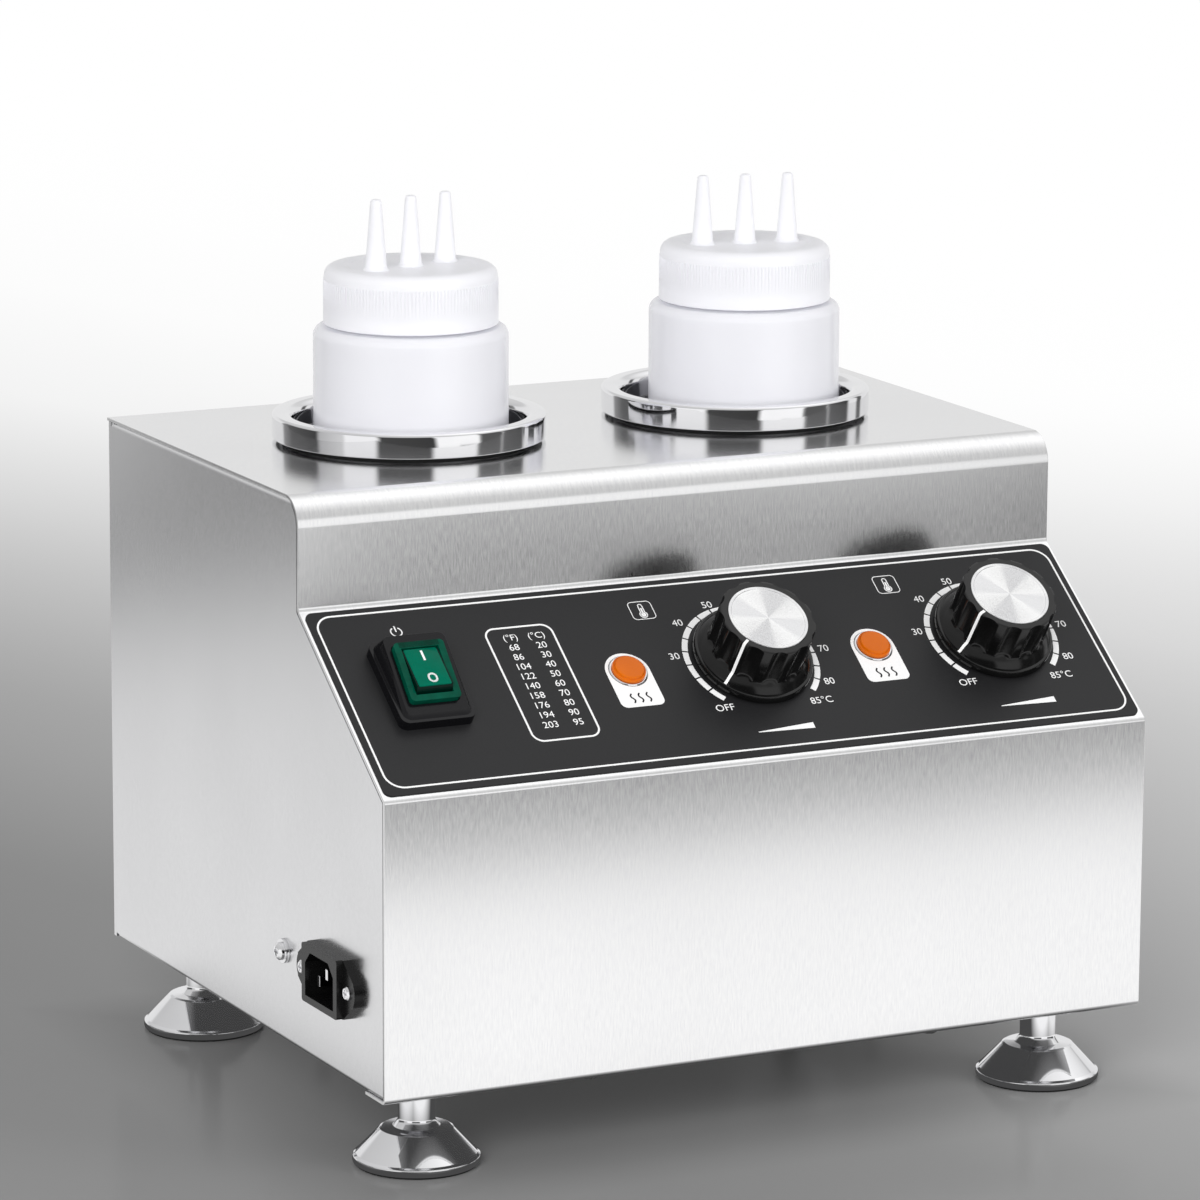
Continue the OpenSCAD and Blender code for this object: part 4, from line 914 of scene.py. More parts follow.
@dataclass
class Panel:
    """The control film, its print, numbers and symbols.

    Attributes:
        ink: thickness of the print.
        base: height of the print above the sheet.
        lift: extra height of the numbers, so that they lie over other print.
        dial_numbers: words, angle in degrees and radius round a knob.
        dial_font, head_font, row_font: heights of the fonts.
        table: the rows of the table, in degrees F and C.
        columns, heads: the columns' places for the rows and for their heads.
        head_u, first_u, row_step: places of the head and the first row, and the step between rows.
        thermometers: places of the two thermometer symbols.
        mains: place of the mains symbol.
        wedge: outline of the rising wedge under a knob, and its place up the slope.
        waves_u, wave_step, wave: place of the heat waves, distance, and their sway and height.
    """

    ink: float = 0.05
    base: float = 0.62
    lift: float = 0.03
    dial_numbers: tuple[tuple[str, float, float], ...] = (
        ("30", 171.0, 30.0), ("40", 137.0, 30.0), ("50", 104.0, 28.6), ("60", 53.0, 29.5),
        ("70", 2.5, 30.5), ("80", -29.0, 30.0), ("85°C", -50.0, 30.2), ("OFF", -132.0, 29.6))
    dial_font: float = 4.4
    head_font: float = 4.0
    row_font: float = 4.2
    table: tuple[tuple[str, str], ...] = (
        ("68", "20"), ("86", "30"), ("104", "40"), ("122", "50"), ("140", "60"), ("158", "70"),
        ("176", "80"), ("194", "90"), ("203", "95"))
    columns: Point2 = (75.0, 86.0)
    heads: tuple[tuple[float, str], ...] = ((75.2, "(°F)"), (85.6, "(°C)"))
    head_u: float = 69.2
    first_u: float = 64.4
    row_step: float = 4.72
    thermometers: tuple[Point2, ...] = ((131.2, 76.2), (233.6, 77.2))
    mains: Point2 = (33.0, 77.3)
    wedge: tuple[Point2, ...] = ((-11.5, -0.6), (11.5, -1.2), (11.5, 1.5), (-11.5, -0.3))
    wedge_u: float = 13.4
    waves_u: float = 34.9
    wave_step: float = 3.2
    wave: Point2 = (0.55, 4.2)

    def text(self, words: str, size: float, place: Matrix) -> Piece:
        """Flat characters as a thin mesh.

        Args:
            words: the characters.
            size: height of the font in millimetres.
            place: from the text's frame to the row frame.

        Returns:
            The object, in the scene.
        """
        curve = bpy.data.curves.new("text", "FONT")
        curve.body, curve.size, curve.extrude = words, size, self.ink / 2.0
        curve.align_x = curve.align_y = "CENTER"
        curve.resolution_u = 4
        holder = bpy.data.objects.new("text", curve)
        bpy.context.scene.collection.objects.link(holder)
        graph = bpy.context.evaluated_depsgraph_get()
        plain = bpy.data.meshes.new_from_object(holder.evaluated_get(graph), depsgraph=graph)
        plain.transform(place)
        bpy.data.objects.remove(holder)
        return placed("text", plain)

    def line(self, shape: Shape, points: Sequence[Point2], width: float, place: Matrix) -> None:
        """Adds a printed line of even width along points.

        Args:
            shape: what takes the line.
            points: the line's middle.
            width: its width in millimetres.
            place: from the line's frame to the row frame.
        """
        overrun_share = 0.35
        for a, b in zip(points, points[1:]):
            start, end = Vector(a), Vector(b)
            run = (end - start).normalized() * width * overrun_share
            side = Vector((-run.y, run.x)).normalized() * width / 2.0
            corners = [start - run - side, end + run - side, end + run + side, start - run + side]
            shape.slab([tuple(c) for c in corners], self.ink, place)

    def arc(self, radius: float, first: float, last: float, centre: Point2 = (0.0, 0.0),
            steps: int = 18) -> list[Point2]:
        """Points of an arc between two angles in degrees."""
        return [(centre[0] + radius * math.cos(a), centre[1] + radius * math.sin(a))
                for a in (math.radians(first + (last - first) * k / steps) for k in range(steps + 1))]

    def thermometer(self, shape: Shape, place: Matrix) -> None:
        """Adds a framed thermometer."""
        top, bulb = (0.0, 2.2), (0.0, -2.1)
        frame_line = [tuple(p.xy) for p in round_box(9.2, 8.6, 1.6, 0.0, 5)]
        self.line(shape, frame_line + frame_line[:1], 0.32, place)
        self.line(shape, self.arc(0.8, 0.0, 180.0, top, 8) + [(-0.8, -1.0)]
                  + self.arc(1.45, 125.0, 415.0, bulb, 16) + [(0.8, top[1])], 0.42, place)
        shape.slab(self.arc(1.0, 0.0, 340.0, bulb, 16), self.ink, place)
        self.line(shape, [(0.0, -2.0), (0.0, 0.9)], 0.65, place)

    def symbols(self) -> Piece:
        """White symbols: mains, thermometers and the rising wedges under the knobs."""
        shape = Shape()
        place = SIZE.panel(*self.mains, self.base)
        self.line(shape, self.arc(2.1, 125.0, 415.0), 0.5, place)
        self.line(shape, [(0.0, 0.2), (0.0, 2.7)], 0.5, place)
        for spot in self.thermometers:
            self.thermometer(shape, SIZE.panel(*spot, self.base))
        for x in SIZE.knob_x:
            shape.slab(self.wedge, self.ink, SIZE.panel(x, self.wedge_u, self.base))
        return shape.finish("panel_symbols", 30.0)

    def waves(self) -> Piece:
        """Dark heat waves on the white lamp fields."""
        shape, steps = Shape(), 16
        sway, height = self.wave
        wave = [(sway * math.sin(TURN * k / steps), height * k / steps - height / 2.0)
                for k in range(steps + 1)]
        for x in SIZE.lamp_x:
            for shift in (-self.wave_step, 0.0, self.wave_step):
                self.line(shape, wave, 0.6, SIZE.panel(x + shift, self.waves_u, self.base + 0.02))
        return shape.finish("lamp_field_waves", 30.0)

    def numbers(self) -> Piece:
        """All numbers and letters of the dials and the table."""
        rows: list[tuple[str, float, float, float]] = []
        for x in SIZE.knob_x:
            for words, angle, radius in self.dial_numbers:
                a = math.radians(angle)
                rows.append((words, self.dial_font, x + radius * math.cos(a),
                             SIZE.control_u + radius * math.sin(a)))
        rows += [(words, self.head_font, x, self.head_u) for x, words in self.heads]
        for row, pair in enumerate(self.table):
            rows += [(words, self.row_font, x, self.first_u - self.row_step * row)
                     for x, words in zip(self.columns, pair)]
        shape = Shape()
        for words, size, x, u in rows:
            shape.take(self.text(words, size, SIZE.panel(x, u, self.base + self.lift)))
        return shape.finish("panel_numbers", 30.0)

    def build(self) -> None:
        """Builds and dresses the panel."""
        stood_in("control_overlay", 0.1, PANEL_FILM, "panel_black")
        stood_in("panel_print", 0.0, WHITE_PRINT_PAINTED_GLOW, "print_white")
        dressed(self.symbols(), WHITE_PRINT_PAINTED_GLOW, Rider.CHASSIS, "print_white")
        dressed(self.waves(), DARK_PRINT, Rider.CHASSIS, "panel_black")
        dressed(self.numbers(), WHITE_PRINT_PAINTED_GLOW, Rider.CHASSIS, "print_white")


@dataclass
class Switch:
    """The rocker switch with its bezel, frame, rocker and marks.

    Attributes:
        x, face_u, face_h, face_tilt: place and tilt in degrees of the bezel's face on the slope.
        pivot, tilt, top: depth of the rocker's axis, its tilt at rest and the height of its top.
        plate_w, plate_l: size of the bright plate.
        ribs, rib_step, rib_u: number, distance and place of the fine ribs on the frame.
    """

    x: float = 32.3
    face_u: float = 50.0
    face_h: float = 8.5
    face_tilt: float = 10.5
    pivot: float = 1.4
    tilt: float = 10.0
    top: float = 4.4
    plate_w: float = 12.8
    plate_l: float = 17.4
    ribs: int = 6
    rib_step: float = 0.38
    rib_u: float = 10.05

    def face(self, h: float = 0.0) -> Matrix:
        """A frame on the bezel's tilted face."""
        return (SIZE.panel(self.x, self.face_u, self.face_h)
                @ Matrix.Rotation(math.radians(self.face_tilt), 4, "X") @ Matrix.Translation((0.0, 0.0, h)))

    def rocker(self, h: float = 0.0) -> Matrix:
        """A frame on the rocker, at its pivot."""
        return (self.face(-self.pivot) @ Matrix.Rotation(math.radians(-self.tilt), 4, "X")
                @ Matrix.Translation((0.0, 0.0, h)))

    def plate(self) -> Piece:
        """The bright green plate on the dark rocker."""
        top, w, l = self.top - 0.25, self.plate_w, self.plate_l
        loops = [round_box(w, l, 0.6, top), round_box(w, l, 0.6, top + 0.4),
                 round_box(w - 0.5, l - 0.5, 0.5, top + 0.65)]
        return Shape().loft(loops, self.rocker()).finish("rocker_plate", 40.0)

    def marks(self) -> Piece:
        """The bar and the ring on the rocker."""
        pen, shape, place = Panel(), Shape(), self.rocker(self.top + 0.41)
        pen.line(shape, [(0.0, 3.2), (0.0, 7.2)], 0.85, place)
        pen.line(shape, [tuple(p.xy) for p in round_box(2.9, 3.6, 1.44, 0.0, 6)] * 2,
                 0.75, place @ Matrix.Translation((0.0, -5.4, 0.0)))
        return shape.finish("rocker_marks", 30.0)

    def hatch(self) -> Piece:
        """Fine ribs across the top band of the green frame."""
        rib = Shape().box(15.6, 0.16, 0.16, Matrix.Identity(4)).finish("rib")
        upright = Matrix.Rotation(math.radians(-90.0), 4, "X")
        return REPEAT.grow("frame_ribs", rib, GREEN_DARK,
                           self.face(2.18) @ Matrix.Translation((0.0, self.rib_u, 0.0)) @ upright,
                           self.ribs, 0.0, 0.0, self.rib_step)

    def build(self) -> None:
        """Builds and dresses the switch."""
        stood_in("switch_bezel", 0.7, SWITCH_BLACK, "switch_black", smooth=28.0, segments=3)
        stood_in("switch_frame", 0.5, GREEN_FRAME, "switch_green", segments=3)
        stood_in("switch_body", 0.3, SWITCH_BLACK, "switch_black")
        stood_in("switch_terminals", 0.1, BRASS_TAB, "terminal_brass")
        stood_in("switch_rocker", 0.3, GREEN_DARK, "switch_green", Rider.ROCKER, 20.0)
        dressed(self.plate(), GREEN_PLATE, Rider.ROCKER, "switch_green")
        dressed(self.marks(), WHITE_PRINT_PAINTED_GLOW, Rider.ROCKER, "print_white")
        dressed(self.hatch(), GREEN_DARK, Rider.CHASSIS, "switch_green")


@dataclass
class Lamp:
    """An indicator lamp with its chrome ring, lens and holder."""

    number: int
    bore: float = 4.0
    ring: float = 7.3
    ring_h: float = 0.6
    lens: float = 6.4
    lens_h: float = 2.1

    def build(self) -> None:
        """Builds and dresses the lamp."""
        stem, h, lens, top = f"lamp_{self.number}", self.ring_h, self.lens, self.ring_h + self.lens_h
        place = SIZE.panel(SIZE.lamp_x[self.number - 1], SIZE.control_u, SIZE.film)
        ring = rounded([(self.bore, 0.0, 0.0), (self.ring, 0.0, 0.0), (self.ring, 0.2, 0.1),
                        (self.ring - 0.45, h, 0.4), (lens + 0.05, h - 0.1, 0.05), (self.bore, h - 0.1, 0.0)], 5)
        dressed(Shape().lathe(ring, place, 96, closed=True).finish(f"{stem}_ring", 40.0), CHROME,
                Rider.CHASSIS, "chrome", f"{stem}_bezel")
        neck = self.bore - 0.2
        line = rounded([(0.0, 0.0, 0.0), (neck, 0.0, 0.0), (neck, h, 0.0), (lens, h, 0.0),
                        (lens, h + 1.0, 0.25), (lens - 0.5, h + 1.2, 0.1), (lens - 0.75, h + 0.95, 0.1),
                        (lens - 0.9, top - 0.2, 0.35), (lens - 1.6, top - 0.05, 0.3),
                        (0.0, top + 0.1, 0.0)], 6)
        dressed(Shape().lathe(line, place, 96).finish(f"{stem}_dome", 30.0), LAMP_ORANGE,
                Rider.CHASSIS, "lamp_orange", f"{stem}_lens")
        stood_in(f"{stem}_holder", 0.2, LAMP_BODY, "lamp_body")


@dataclass
class Knob:
    """A fluted knob with its skirt, bright disc and pointer line.

    Attributes:
        number: 1 or 2, from the left.
        height, skirt, grip, crown, disc: its height and the radii of its parts.
        flutes, flute_r, flute_cut, flute_blend: number, radius and depth of the flutes, and how far
            outside the grip their run-out begins.
        pointers: angles of the two knobs' pointers at rest, in degrees.
        steps: segments round the axis.
        seat: depth of the disc's seat below the top.
        bore: outline of the hollow underside, from the axis outwards.
        line_w, line_low, line_high: half the pointer line's width, and its heights over the surface.
    """

    number: int
    height: float = 22.2
    skirt: float = 22.8
    grip: float = 18.5
    crown: float = 18.3
    disc: float = 15.2
    flutes: int = 12
    flute_r: float = 6.0
    flute_cut: float = 1.25
    flute_blend: float = 0.35
    pointers: Point2 = (-142.0, -153.0)
    steps: int = 288
    seat: float = 0.8
    bore: tuple[Point2, ...] = (
        (0.4, 17.4), (3.05, 17.2), (3.05, 1.9), (5.6, 1.9), (5.6, 18.8), (14.6, 18.8), (14.9, 3.4), (20.2, 3.4))
    line_w: float = 0.55
    line_low: float = -0.12
    line_high: float = 0.1

    def place(self) -> Matrix:
        """The knob's own frame: the pointer lies along X."""
        k = self.number - 1
        return SIZE.panel(SIZE.knob_x[k], SIZE.control_u, SIZE.film, self.pointers[k])

    def radius(self, base: float, depth_share: float) -> Callable[[float], float]:
        """Radius of the grip by angle.

        Args:
            base: radius at the ridges.
            depth_share: share of the full flute, from 0 to 1.

        Returns:
            The function of the angle in radians.
        """
        reach = base + self.flute_r - self.flute_cut * depth_share
        pitch = TURN / self.flutes

        def at(angle: float) -> float:
            """Radius at an angle."""
            off = (angle % pitch) - pitch / 2.0
            inside = self.flute_r ** 2 - (reach * math.sin(off)) ** 2
            if inside <= 0.0:
                return base
            flute = reach * math.cos(off) - math.sqrt(inside)
            return min(base, flute) if depth_share > 0.0 and base - flute > -self.flute_blend else base

        return at

    def flank(self) -> list[Point3]:
        """Radius, height and flute share of the outer face, from the skirt's top to the crown."""
        top, grip, skirt, crown = self.height, self.grip, self.skirt, self.crown
        return [(skirt - 1.2, 4.0, 0.0), (skirt - 1.4, 4.25, 0.0), (grip + 1.3, 6.1, 0.0),
                (grip + 0.5, 6.5, 0.0), (grip + 0.1, 6.9, 0.15), (grip, 7.4, 0.7),
                (grip - 0.05, 8.2, 1.0), (crown, top - 0.6, 0.86), (crown - 0.15, top - 0.18, 0.72),
                (crown - 0.5, top, 0.44)]

    def body(self) -> Piece:
        """The black moulding."""
        top, seat, skirt = self.height, self.height - self.seat, self.skirt
        rows = [(skirt - 2.4, 0.6, 0.0), (skirt - 0.3, 0.6, 0.0), (skirt, 0.9, 0.0), (skirt - 0.1, 3.5, 0.0),
                (skirt - 0.35, 3.9, 0.0), (skirt - 0.9, 4.0, 0.0), *self.flank(), (self.crown - 1.1, top, 0.0),
                (self.disc + 0.1, top, 0.0), (self.disc + 0.05, seat, 0.0), (self.disc * 0.5, seat, 0.0),
                (self.bore[0][0], seat, 0.0)]
        loops = [polar_loop(self.radius(r, share), z, self.steps) for r, z, share in rows]
        loops += [ring_loop(r, z, self.steps) for r, z in self.bore]
        return Shape().loft(loops, self.place(), closed=True).finish(f"knob_{self.number}_moulding", 32.0)

    def face(self) -> Piece:
        """The turned bright disc, slightly hollow."""
        low, top = self.height - 0.78, self.height + 0.25
        line = rounded([(0.0, low, 0.0), (self.disc, low, 0.0), (self.disc, top, 0.25),
                        (self.disc - 1.1, top - 0.05, 0.4), (self.disc - 1.5, top - 0.23, 0.5),
                        (0.0, top - 0.3, 0.0)], 5)
        return Shape().lathe(line, self.place()).finish(f"knob_{self.number}_face", 40.0)

    def pointer_line(self) -> Piece:
        """The white line down the grip and over the skirt."""
        sides = [row[:2] for row in self.flank() if row[0] != self.grip - 0.05]
        path = [(self.disc + 0.5, self.height), *reversed(sides), (self.skirt - 0.35, 3.95)]
        loops: list[Loop] = []
        for k, (r, z) in enumerate(path):
            before, after = path[max(k - 1, 0)], path[min(k + 1, len(path) - 1)]
            run = Vector((after[0] - before[0], after[1] - before[1])).normalized()
            out = Vector((-run.y, run.x))
            loops.append([Vector((r + out.x * t, w, z + out.y * t)) for t, w in (
                (self.line_low, -self.line_w), (self.line_high, -self.line_w),
                (self.line_high, self.line_w), (self.line_low, self.line_w))])
        return Shape().loft(loops, self.place()).finish(f"knob_{self.number}_line", 40.0)

    def build(self) -> None:
        """Builds and dresses the knob."""
        rider = Rider.numbered("KNOB", self.number)
        stem, inner = f"knob_{self.number}", f"thermostat_{self.number}"
        centre = tuple(self.place() @ Vector((0.0, 0.0, self.height)))
        # the disc's two greys are the light and dark of its painted highlight sectors
        spun = SpunFinish(f"spun_disc_{self.number}", (0.95, 0.95, 0.95), (0.80, 0.80, 0.81), Grain.FINE,
                          (0.22, 0.30), 0.0, metallic=1.0, centre=centre, tilt=SIZE.slope)
        dressed(self.body(), KNOB_BLACK, rider, "knob_black", f"{stem}_grip")
        dressed(self.face(), spun, rider, "spun_aluminium", f"{stem}_disc")
        dressed(self.pointer_line(), WHITE_PRINT_PAINTED_GLOW, rider, "print_white", f"{stem}_pointer")
        stood_in(f"{inner}_shaft", 0.15, PLATED, "fastener_steel", rider)
        stood_in(f"{inner}_body", 0.4, THERMO_CASE, "thermostat_body")
        stood_in(f"{inner}_bulb", 0.0, COPPER, "copper")


@dataclass
class Well:
    """A heated well with its gasket, flange and polished collar.

    Attributes:
        number: 1 or 2, from the left.
        collar, collar_h, throat, wall: outer radius, height, inner radius and sheet of the collar.
        flange: top of the well's flange above the roof.
        seat: inner radius, outer radius and height of the gasket.
    """

    number: int
    collar: float = 51.6
    collar_h: float = 9.2
    throat: float = 43.6
    wall: float = 1.6
    flange: float = 1.5
    seat: Point3 = (44.2, 47.5, 0.7)

    def build(self) -> None:
        """Builds and dresses the well."""
        n, roof, wall, throat, out = self.number, SIZE.height, self.wall, self.throat, self.collar
        place = SIZE.at(SIZE.well_x[n - 1], SIZE.well_y)
        stood_in(f"well_{n}", 0.15, WELL_STEEL_PAINTED_SHADE, "well_steel", smooth=35.0)
        near, far, thick = self.seat
        seat = rounded([(near, roof, 0.0), (far, roof, 0.0), (far, roof + thick, 0.2),
                        (near, roof + thick, 0.0)], 4)
        dressed(Shape().lathe(seat, place, closed=True).finish(f"gasket_{n}_ring", 40.0), RUBBER,
                Rider.CHASSIS, "gasket_rubber", f"gasket_{n}")
        low = roof + self.flange
        top = low + self.collar_h
        ring = rounded([
            (throat, low + 4.0, 0.0), (throat, low, 0.3), (throat + wall, low, 0.3),
            (throat + wall, top - wall, 1.8), (out - wall, top - wall, 0.6), (out - wall, low, 0.4),
            (out, low, 0.4), (out, top, 1.3), (throat, top, 3.6), (throat, low + 4.2, 0.0)], 10)
        dressed(Shape().lathe(ring, place, 192, closed=True).finish(f"collar_{n}_ring", 35.0), CHROME,
                Rider.CHASSIS, "chrome", f"collar_{n}")
        stood_in(f"heater_band_{n}", 0.2, HEATER, "heater_sheath")


@dataclass
class Bottle:
    """A squeeze bottle with its liner and three-nozzle cap.

    Attributes:
        number: 1 or 2, from the left.
        shifts, turns: each bottle's place along X from its well's middle, and its turn in degrees.
        radius, wall, shoulder, neck, neck_wall, rim: sizes of the flask.
        lead, thread_turns, thread_steps: pitch and length of the threads, and their segments a turn.
        ridge: section of the threads, half its height at the root and at the tip.
        cap_r, cap_h, cap_top: radius, height and top of the cap.
        nozzles, nozzle, bore: places of the nozzles, and their outer and inner sections over the cap's roof.
        ribs, rib: number of the cap's ribs, and the width, depth and height of one.
    """

    number: int
    shifts: Point2 = (0.8, 3.7)
    turns: Point2 = (16.0, -10.0)
    radius: float = 36.7
    wall: float = 1.4
    shoulder: float = 192.0
    neck: float = 28.6
    neck_wall: float = 1.6
    rim: float = 211.5
    lead: float = 4.2
    thread_turns: float = 1.5
    thread_steps: int = 48
    ridge: Point2 = (0.85, 0.42)
    cap_r: float = 32.6
    cap_h: float = 21.9
    cap_top: float = 214.8
    nozzles: Point3 = (-17.0, 0.0, 17.0)
    nozzle: tuple[Point3, ...] = (
        (0.0, 0.0, 0.0), (5.4, 0.0, 0.0), (4.1, 1.6, 1.6), (2.15, 26.0, 1.4), (1.9, 27.0, 1.2),
        (0.0, 27.0, 0.0))
    bore: tuple[Point2, ...] = ((1.15, 24.8), (0.6, 25.5), (0.0, 25.7))
    ribs: int = 150
    rib: Point3 = (0.5, 0.42, 15.0)

    def place(self) -> Matrix:
        """The bottle's own frame on the well's floor."""
        k = self.number - 1
        return SIZE.at(SIZE.well_x[k] + self.shifts[k], SIZE.well_y, SIZE.well_floor, self.turns[k])

    def thread(self, shape: Shape, inner: float, outer: float, low: float) -> None:
        """Adds a helical ridge.

        Args:
            shape: what takes the ridge.
            inner, outer: its radii.
            low: height of its first end.
        """
        steps = round(self.thread_steps * self.thread_turns)
        root, crest = self.ridge
        loops: list[Loop] = []
        for k in range(steps + 1):
            a = TURN * self.thread_turns * k / steps
            z = low + self.lead * self.thread_turns * k / steps
            share = min(1.0, 0.25 + min(k, steps - k) / 6.0)
            tip = inner + (outer - inner) * share
            loops.append([Vector((r * math.cos(a), r * math.sin(a), z + dz))
                          for r, dz in ((inner, -root), (tip, -crest), (tip, crest), (inner, root))])
        shape.loft(loops, self.place())

    def flask(self) -> Piece:
        """The blown body with its threaded neck."""
        r, t, s, n = self.radius, self.wall, self.shoulder, self.neck
        bore = n - self.neck_wall
        line = rounded([
            (0.0, 0.9, 0.0), (26.0, 0.9, 0.0), (30.0, 0.0, 1.5), (r, 0.0, 4.5), (r, s - 2.6, 3.6),
            (r - 1.6, s, 3.2), (n, s, 1.0), (n, self.rim, 0.5), (bore, self.rim, 0.5), (bore, s - t, 1.2),
            (r - t, s - t, 3.6), (r - t, t, 3.2), (0.0, t + 0.9, 0.0)], 8)
        shape = Shape().lathe(line, self.place(), 160)
        self.thread(shape, n - 0.25, n + 1.3, s + 5.2)
        return shape.finish(f"bottle_{self.number}_flask", 40.0)

    def lid(self) -> Piece:
        """The cap with its hollow nozzles."""
        top, low, out = self.cap_top, self.cap_top - self.cap_h, self.cap_r
        roof, inner, base = self.rim + 1.2, self.neck + 1.6, self.cap_top - 1.0
        line = rounded([
            (0.0, top - 0.5, 0.0), (23.4, top - 0.5, 1.2), (25.4, top, 1.2), (out - 0.15, top, 3.9),
            (out + 0.35, low, 0.5), (inner, low, 0.4), (inner, roof, 0.5), (0.0, roof, 0.0)], 8)
        shell = Shape().lathe(line, self.place(), 144).finish("cap_shell", 40.0)
        cone = rounded([(r, base + z, bend) for r, z, bend in self.nozzle], 6)
        bore = [(0.0, roof - 1.0), (2.9, roof - 1.0), *((r, base + z) for r, z in self.bore)]
        spots = [self.place() @ Matrix.Translation((x, 0.0, 0.0)) for x in self.nozzles]
        cones = [Shape().lathe(cone, spot, 40).finish("nozzle", 40.0) for spot in spots]
        bores = [Shape().lathe(bore, spot, 32).finish("bore", 40.0) for spot in spots]
        shape = Shape().take(cut(cut(shell, cones, "UNION"), bores))
        self.thread(shape, inner + 0.25, inner - 1.3, self.shoulder + 7.3)
        return shape.finish(f"cap_{self.number}_moulding", 38.0)

    def knurl(self) -> Piece:
        """Fine upright ribs round the cap."""
        width, depth, height = self.rib
        loops = [round_box(width, depth, 0.15, z, 2) for z in (0.0, height)]
        rib = Shape().loft(loops, Matrix.Identity(4)).finish("rib")
        foot = self.place() @ Matrix.Translation((0.0, 0.0, self.cap_top - self.cap_h + 1.6))
        return REPEAT.grow(f"cap_{self.number}_ribs", rib, CAP_MILK_PAINTED_GLOW, foot, self.ribs, self.cap_r - 0.02)

    def build(self) -> None:
        """Builds and dresses the bottle."""
        n = self.number
        cap = Rider.numbered("CAP", n)
        dressed(self.flask(), BOTTLE_MILK_PAINTED_GLOW, Rider.numbered("BOTTLE", n), "bottle_plastic", f"bottle_{n}")
        dressed(self.lid(), CAP_MILK_PAINTED_GLOW, cap, "cap_plastic", f"cap_{n}")
        dressed(self.knurl(), CAP_MILK_PAINTED_GLOW, cap, "cap_plastic")
        stood_in(f"cap_seal_{n}", 0.2, SEAL_FOAM, "seal_foam", Rider.numbered("SEAL", n))


@dataclass
class Inlet:
    """The supply inlet with its pins and screws, and the earth screw."""

    def build(self) -> None:
        """Builds and dresses the inlet."""
        stood_in("inlet_housing", 0.45, INLET_BLACK, "inlet_black", smooth=28.0, segments=3)
        for node, edge in (("inlet_pins", 0.15), ("inlet_screws", 0.15), ("earth_screw", 0.2)):
            stood_in(node, edge, CHROME, "fastener_steel")


@dataclass
class Foot:
    """A levelling foot with its bell, stud and rubber base.

    Attributes:
        number: 1 to 4: front left, front right, rear left, rear right.
        stem, shoulder, rim: radii of the bell from top to bottom.
        side, front, rear: the foot's distance from the cabinet's side, front and rear.
        stud, reach: radius of the stud, and how far it stands above the cabinet's underside.
        pad, pad_h: radius and height of the rubber base.
    """

    number: int
    stem: float = 6.7
    shoulder: float = 13.2
    rim: float = 23.2
    side: float = 26.0
    front: float = 30.0
    rear: float = 29.0
    stud: float = 4.0
    reach: float = 18.0
    pad: float = 22.3
    pad_h: float = 1.6

    def build(self) -> None:
        """Builds and dresses the foot."""
        n, s, lift, rim, stem, stud = self.number, SIZE, SIZE.lift, self.rim, self.stem, self.stud
        x = (-1 if n % 2 else 1) * (s.width / 2.0 - self.side)
        place = s.at(x, self.front if n < 3 else s.depth - self.rear, -lift)
        line = rounded([
            (0.0, 1.6, 0.0), (22.5, 1.6, 0.0), (22.5, 0.8, 0.0), (rim - 0.2, 0.8, 0.4), (rim, 1.6, 0.6),
            (rim, 3.4, 0.7), (rim - 1.2, 4.2, 0.8), (self.shoulder + 0.2, 13.3, 0.7),
            (self.shoulder - 0.7, 13.7, 0.5), (8.6, 14.0, 0.4), (stem, 16.4, 2.4), (stem, lift - 0.4, 0.2),
            (stem - 0.4, lift, 0.0), (stud, lift, 0.0), (stud, lift + self.reach - 0.6, 0.0),
            (stud - 0.6, lift + self.reach, 0.0), (0.0, lift + self.reach, 0.0)], 7)
        dressed(Shape().lathe(line, place, 144).finish(f"foot_{n}_turned", 35.0), CHROME,
                Rider.numbered("FOOT", n), "chrome", f"foot_{n}_bell")
        pad = rounded([(0.0, 0.0, 0.0), (self.pad, 0.0, 0.4), (self.pad, self.pad_h, 0.2),
                       (0.0, self.pad_h, 0.0)], 4)
        dressed(Shape().lathe(pad, place, 96).finish(f"foot_{n}_base", 40.0), RUBBER,
                Rider.numbered("PAD", n), "pad_rubber", f"foot_{n}_pad")


@dataclass
class InnerParts:
    """What lies behind the sheets and shows only when the cabinet is open."""

    def build(self) -> None:
        """Dresses the inner parts."""
        for node, edge, finish, slot in (
                ("thermostat_screws", 0.15, PLATED, "fastener_steel"),
                ("heater_clamp_screws", 0.15, PLATED, "fastener_steel"),
                ("terminal_block", 0.15, IVORY, "block_ivory"), ("wiring", 0.0, WIRE_RED, "wire_red")):
            stood_in(node, edge, finish, slot)


# ---- studio -----------------------------------------------------------------------------------


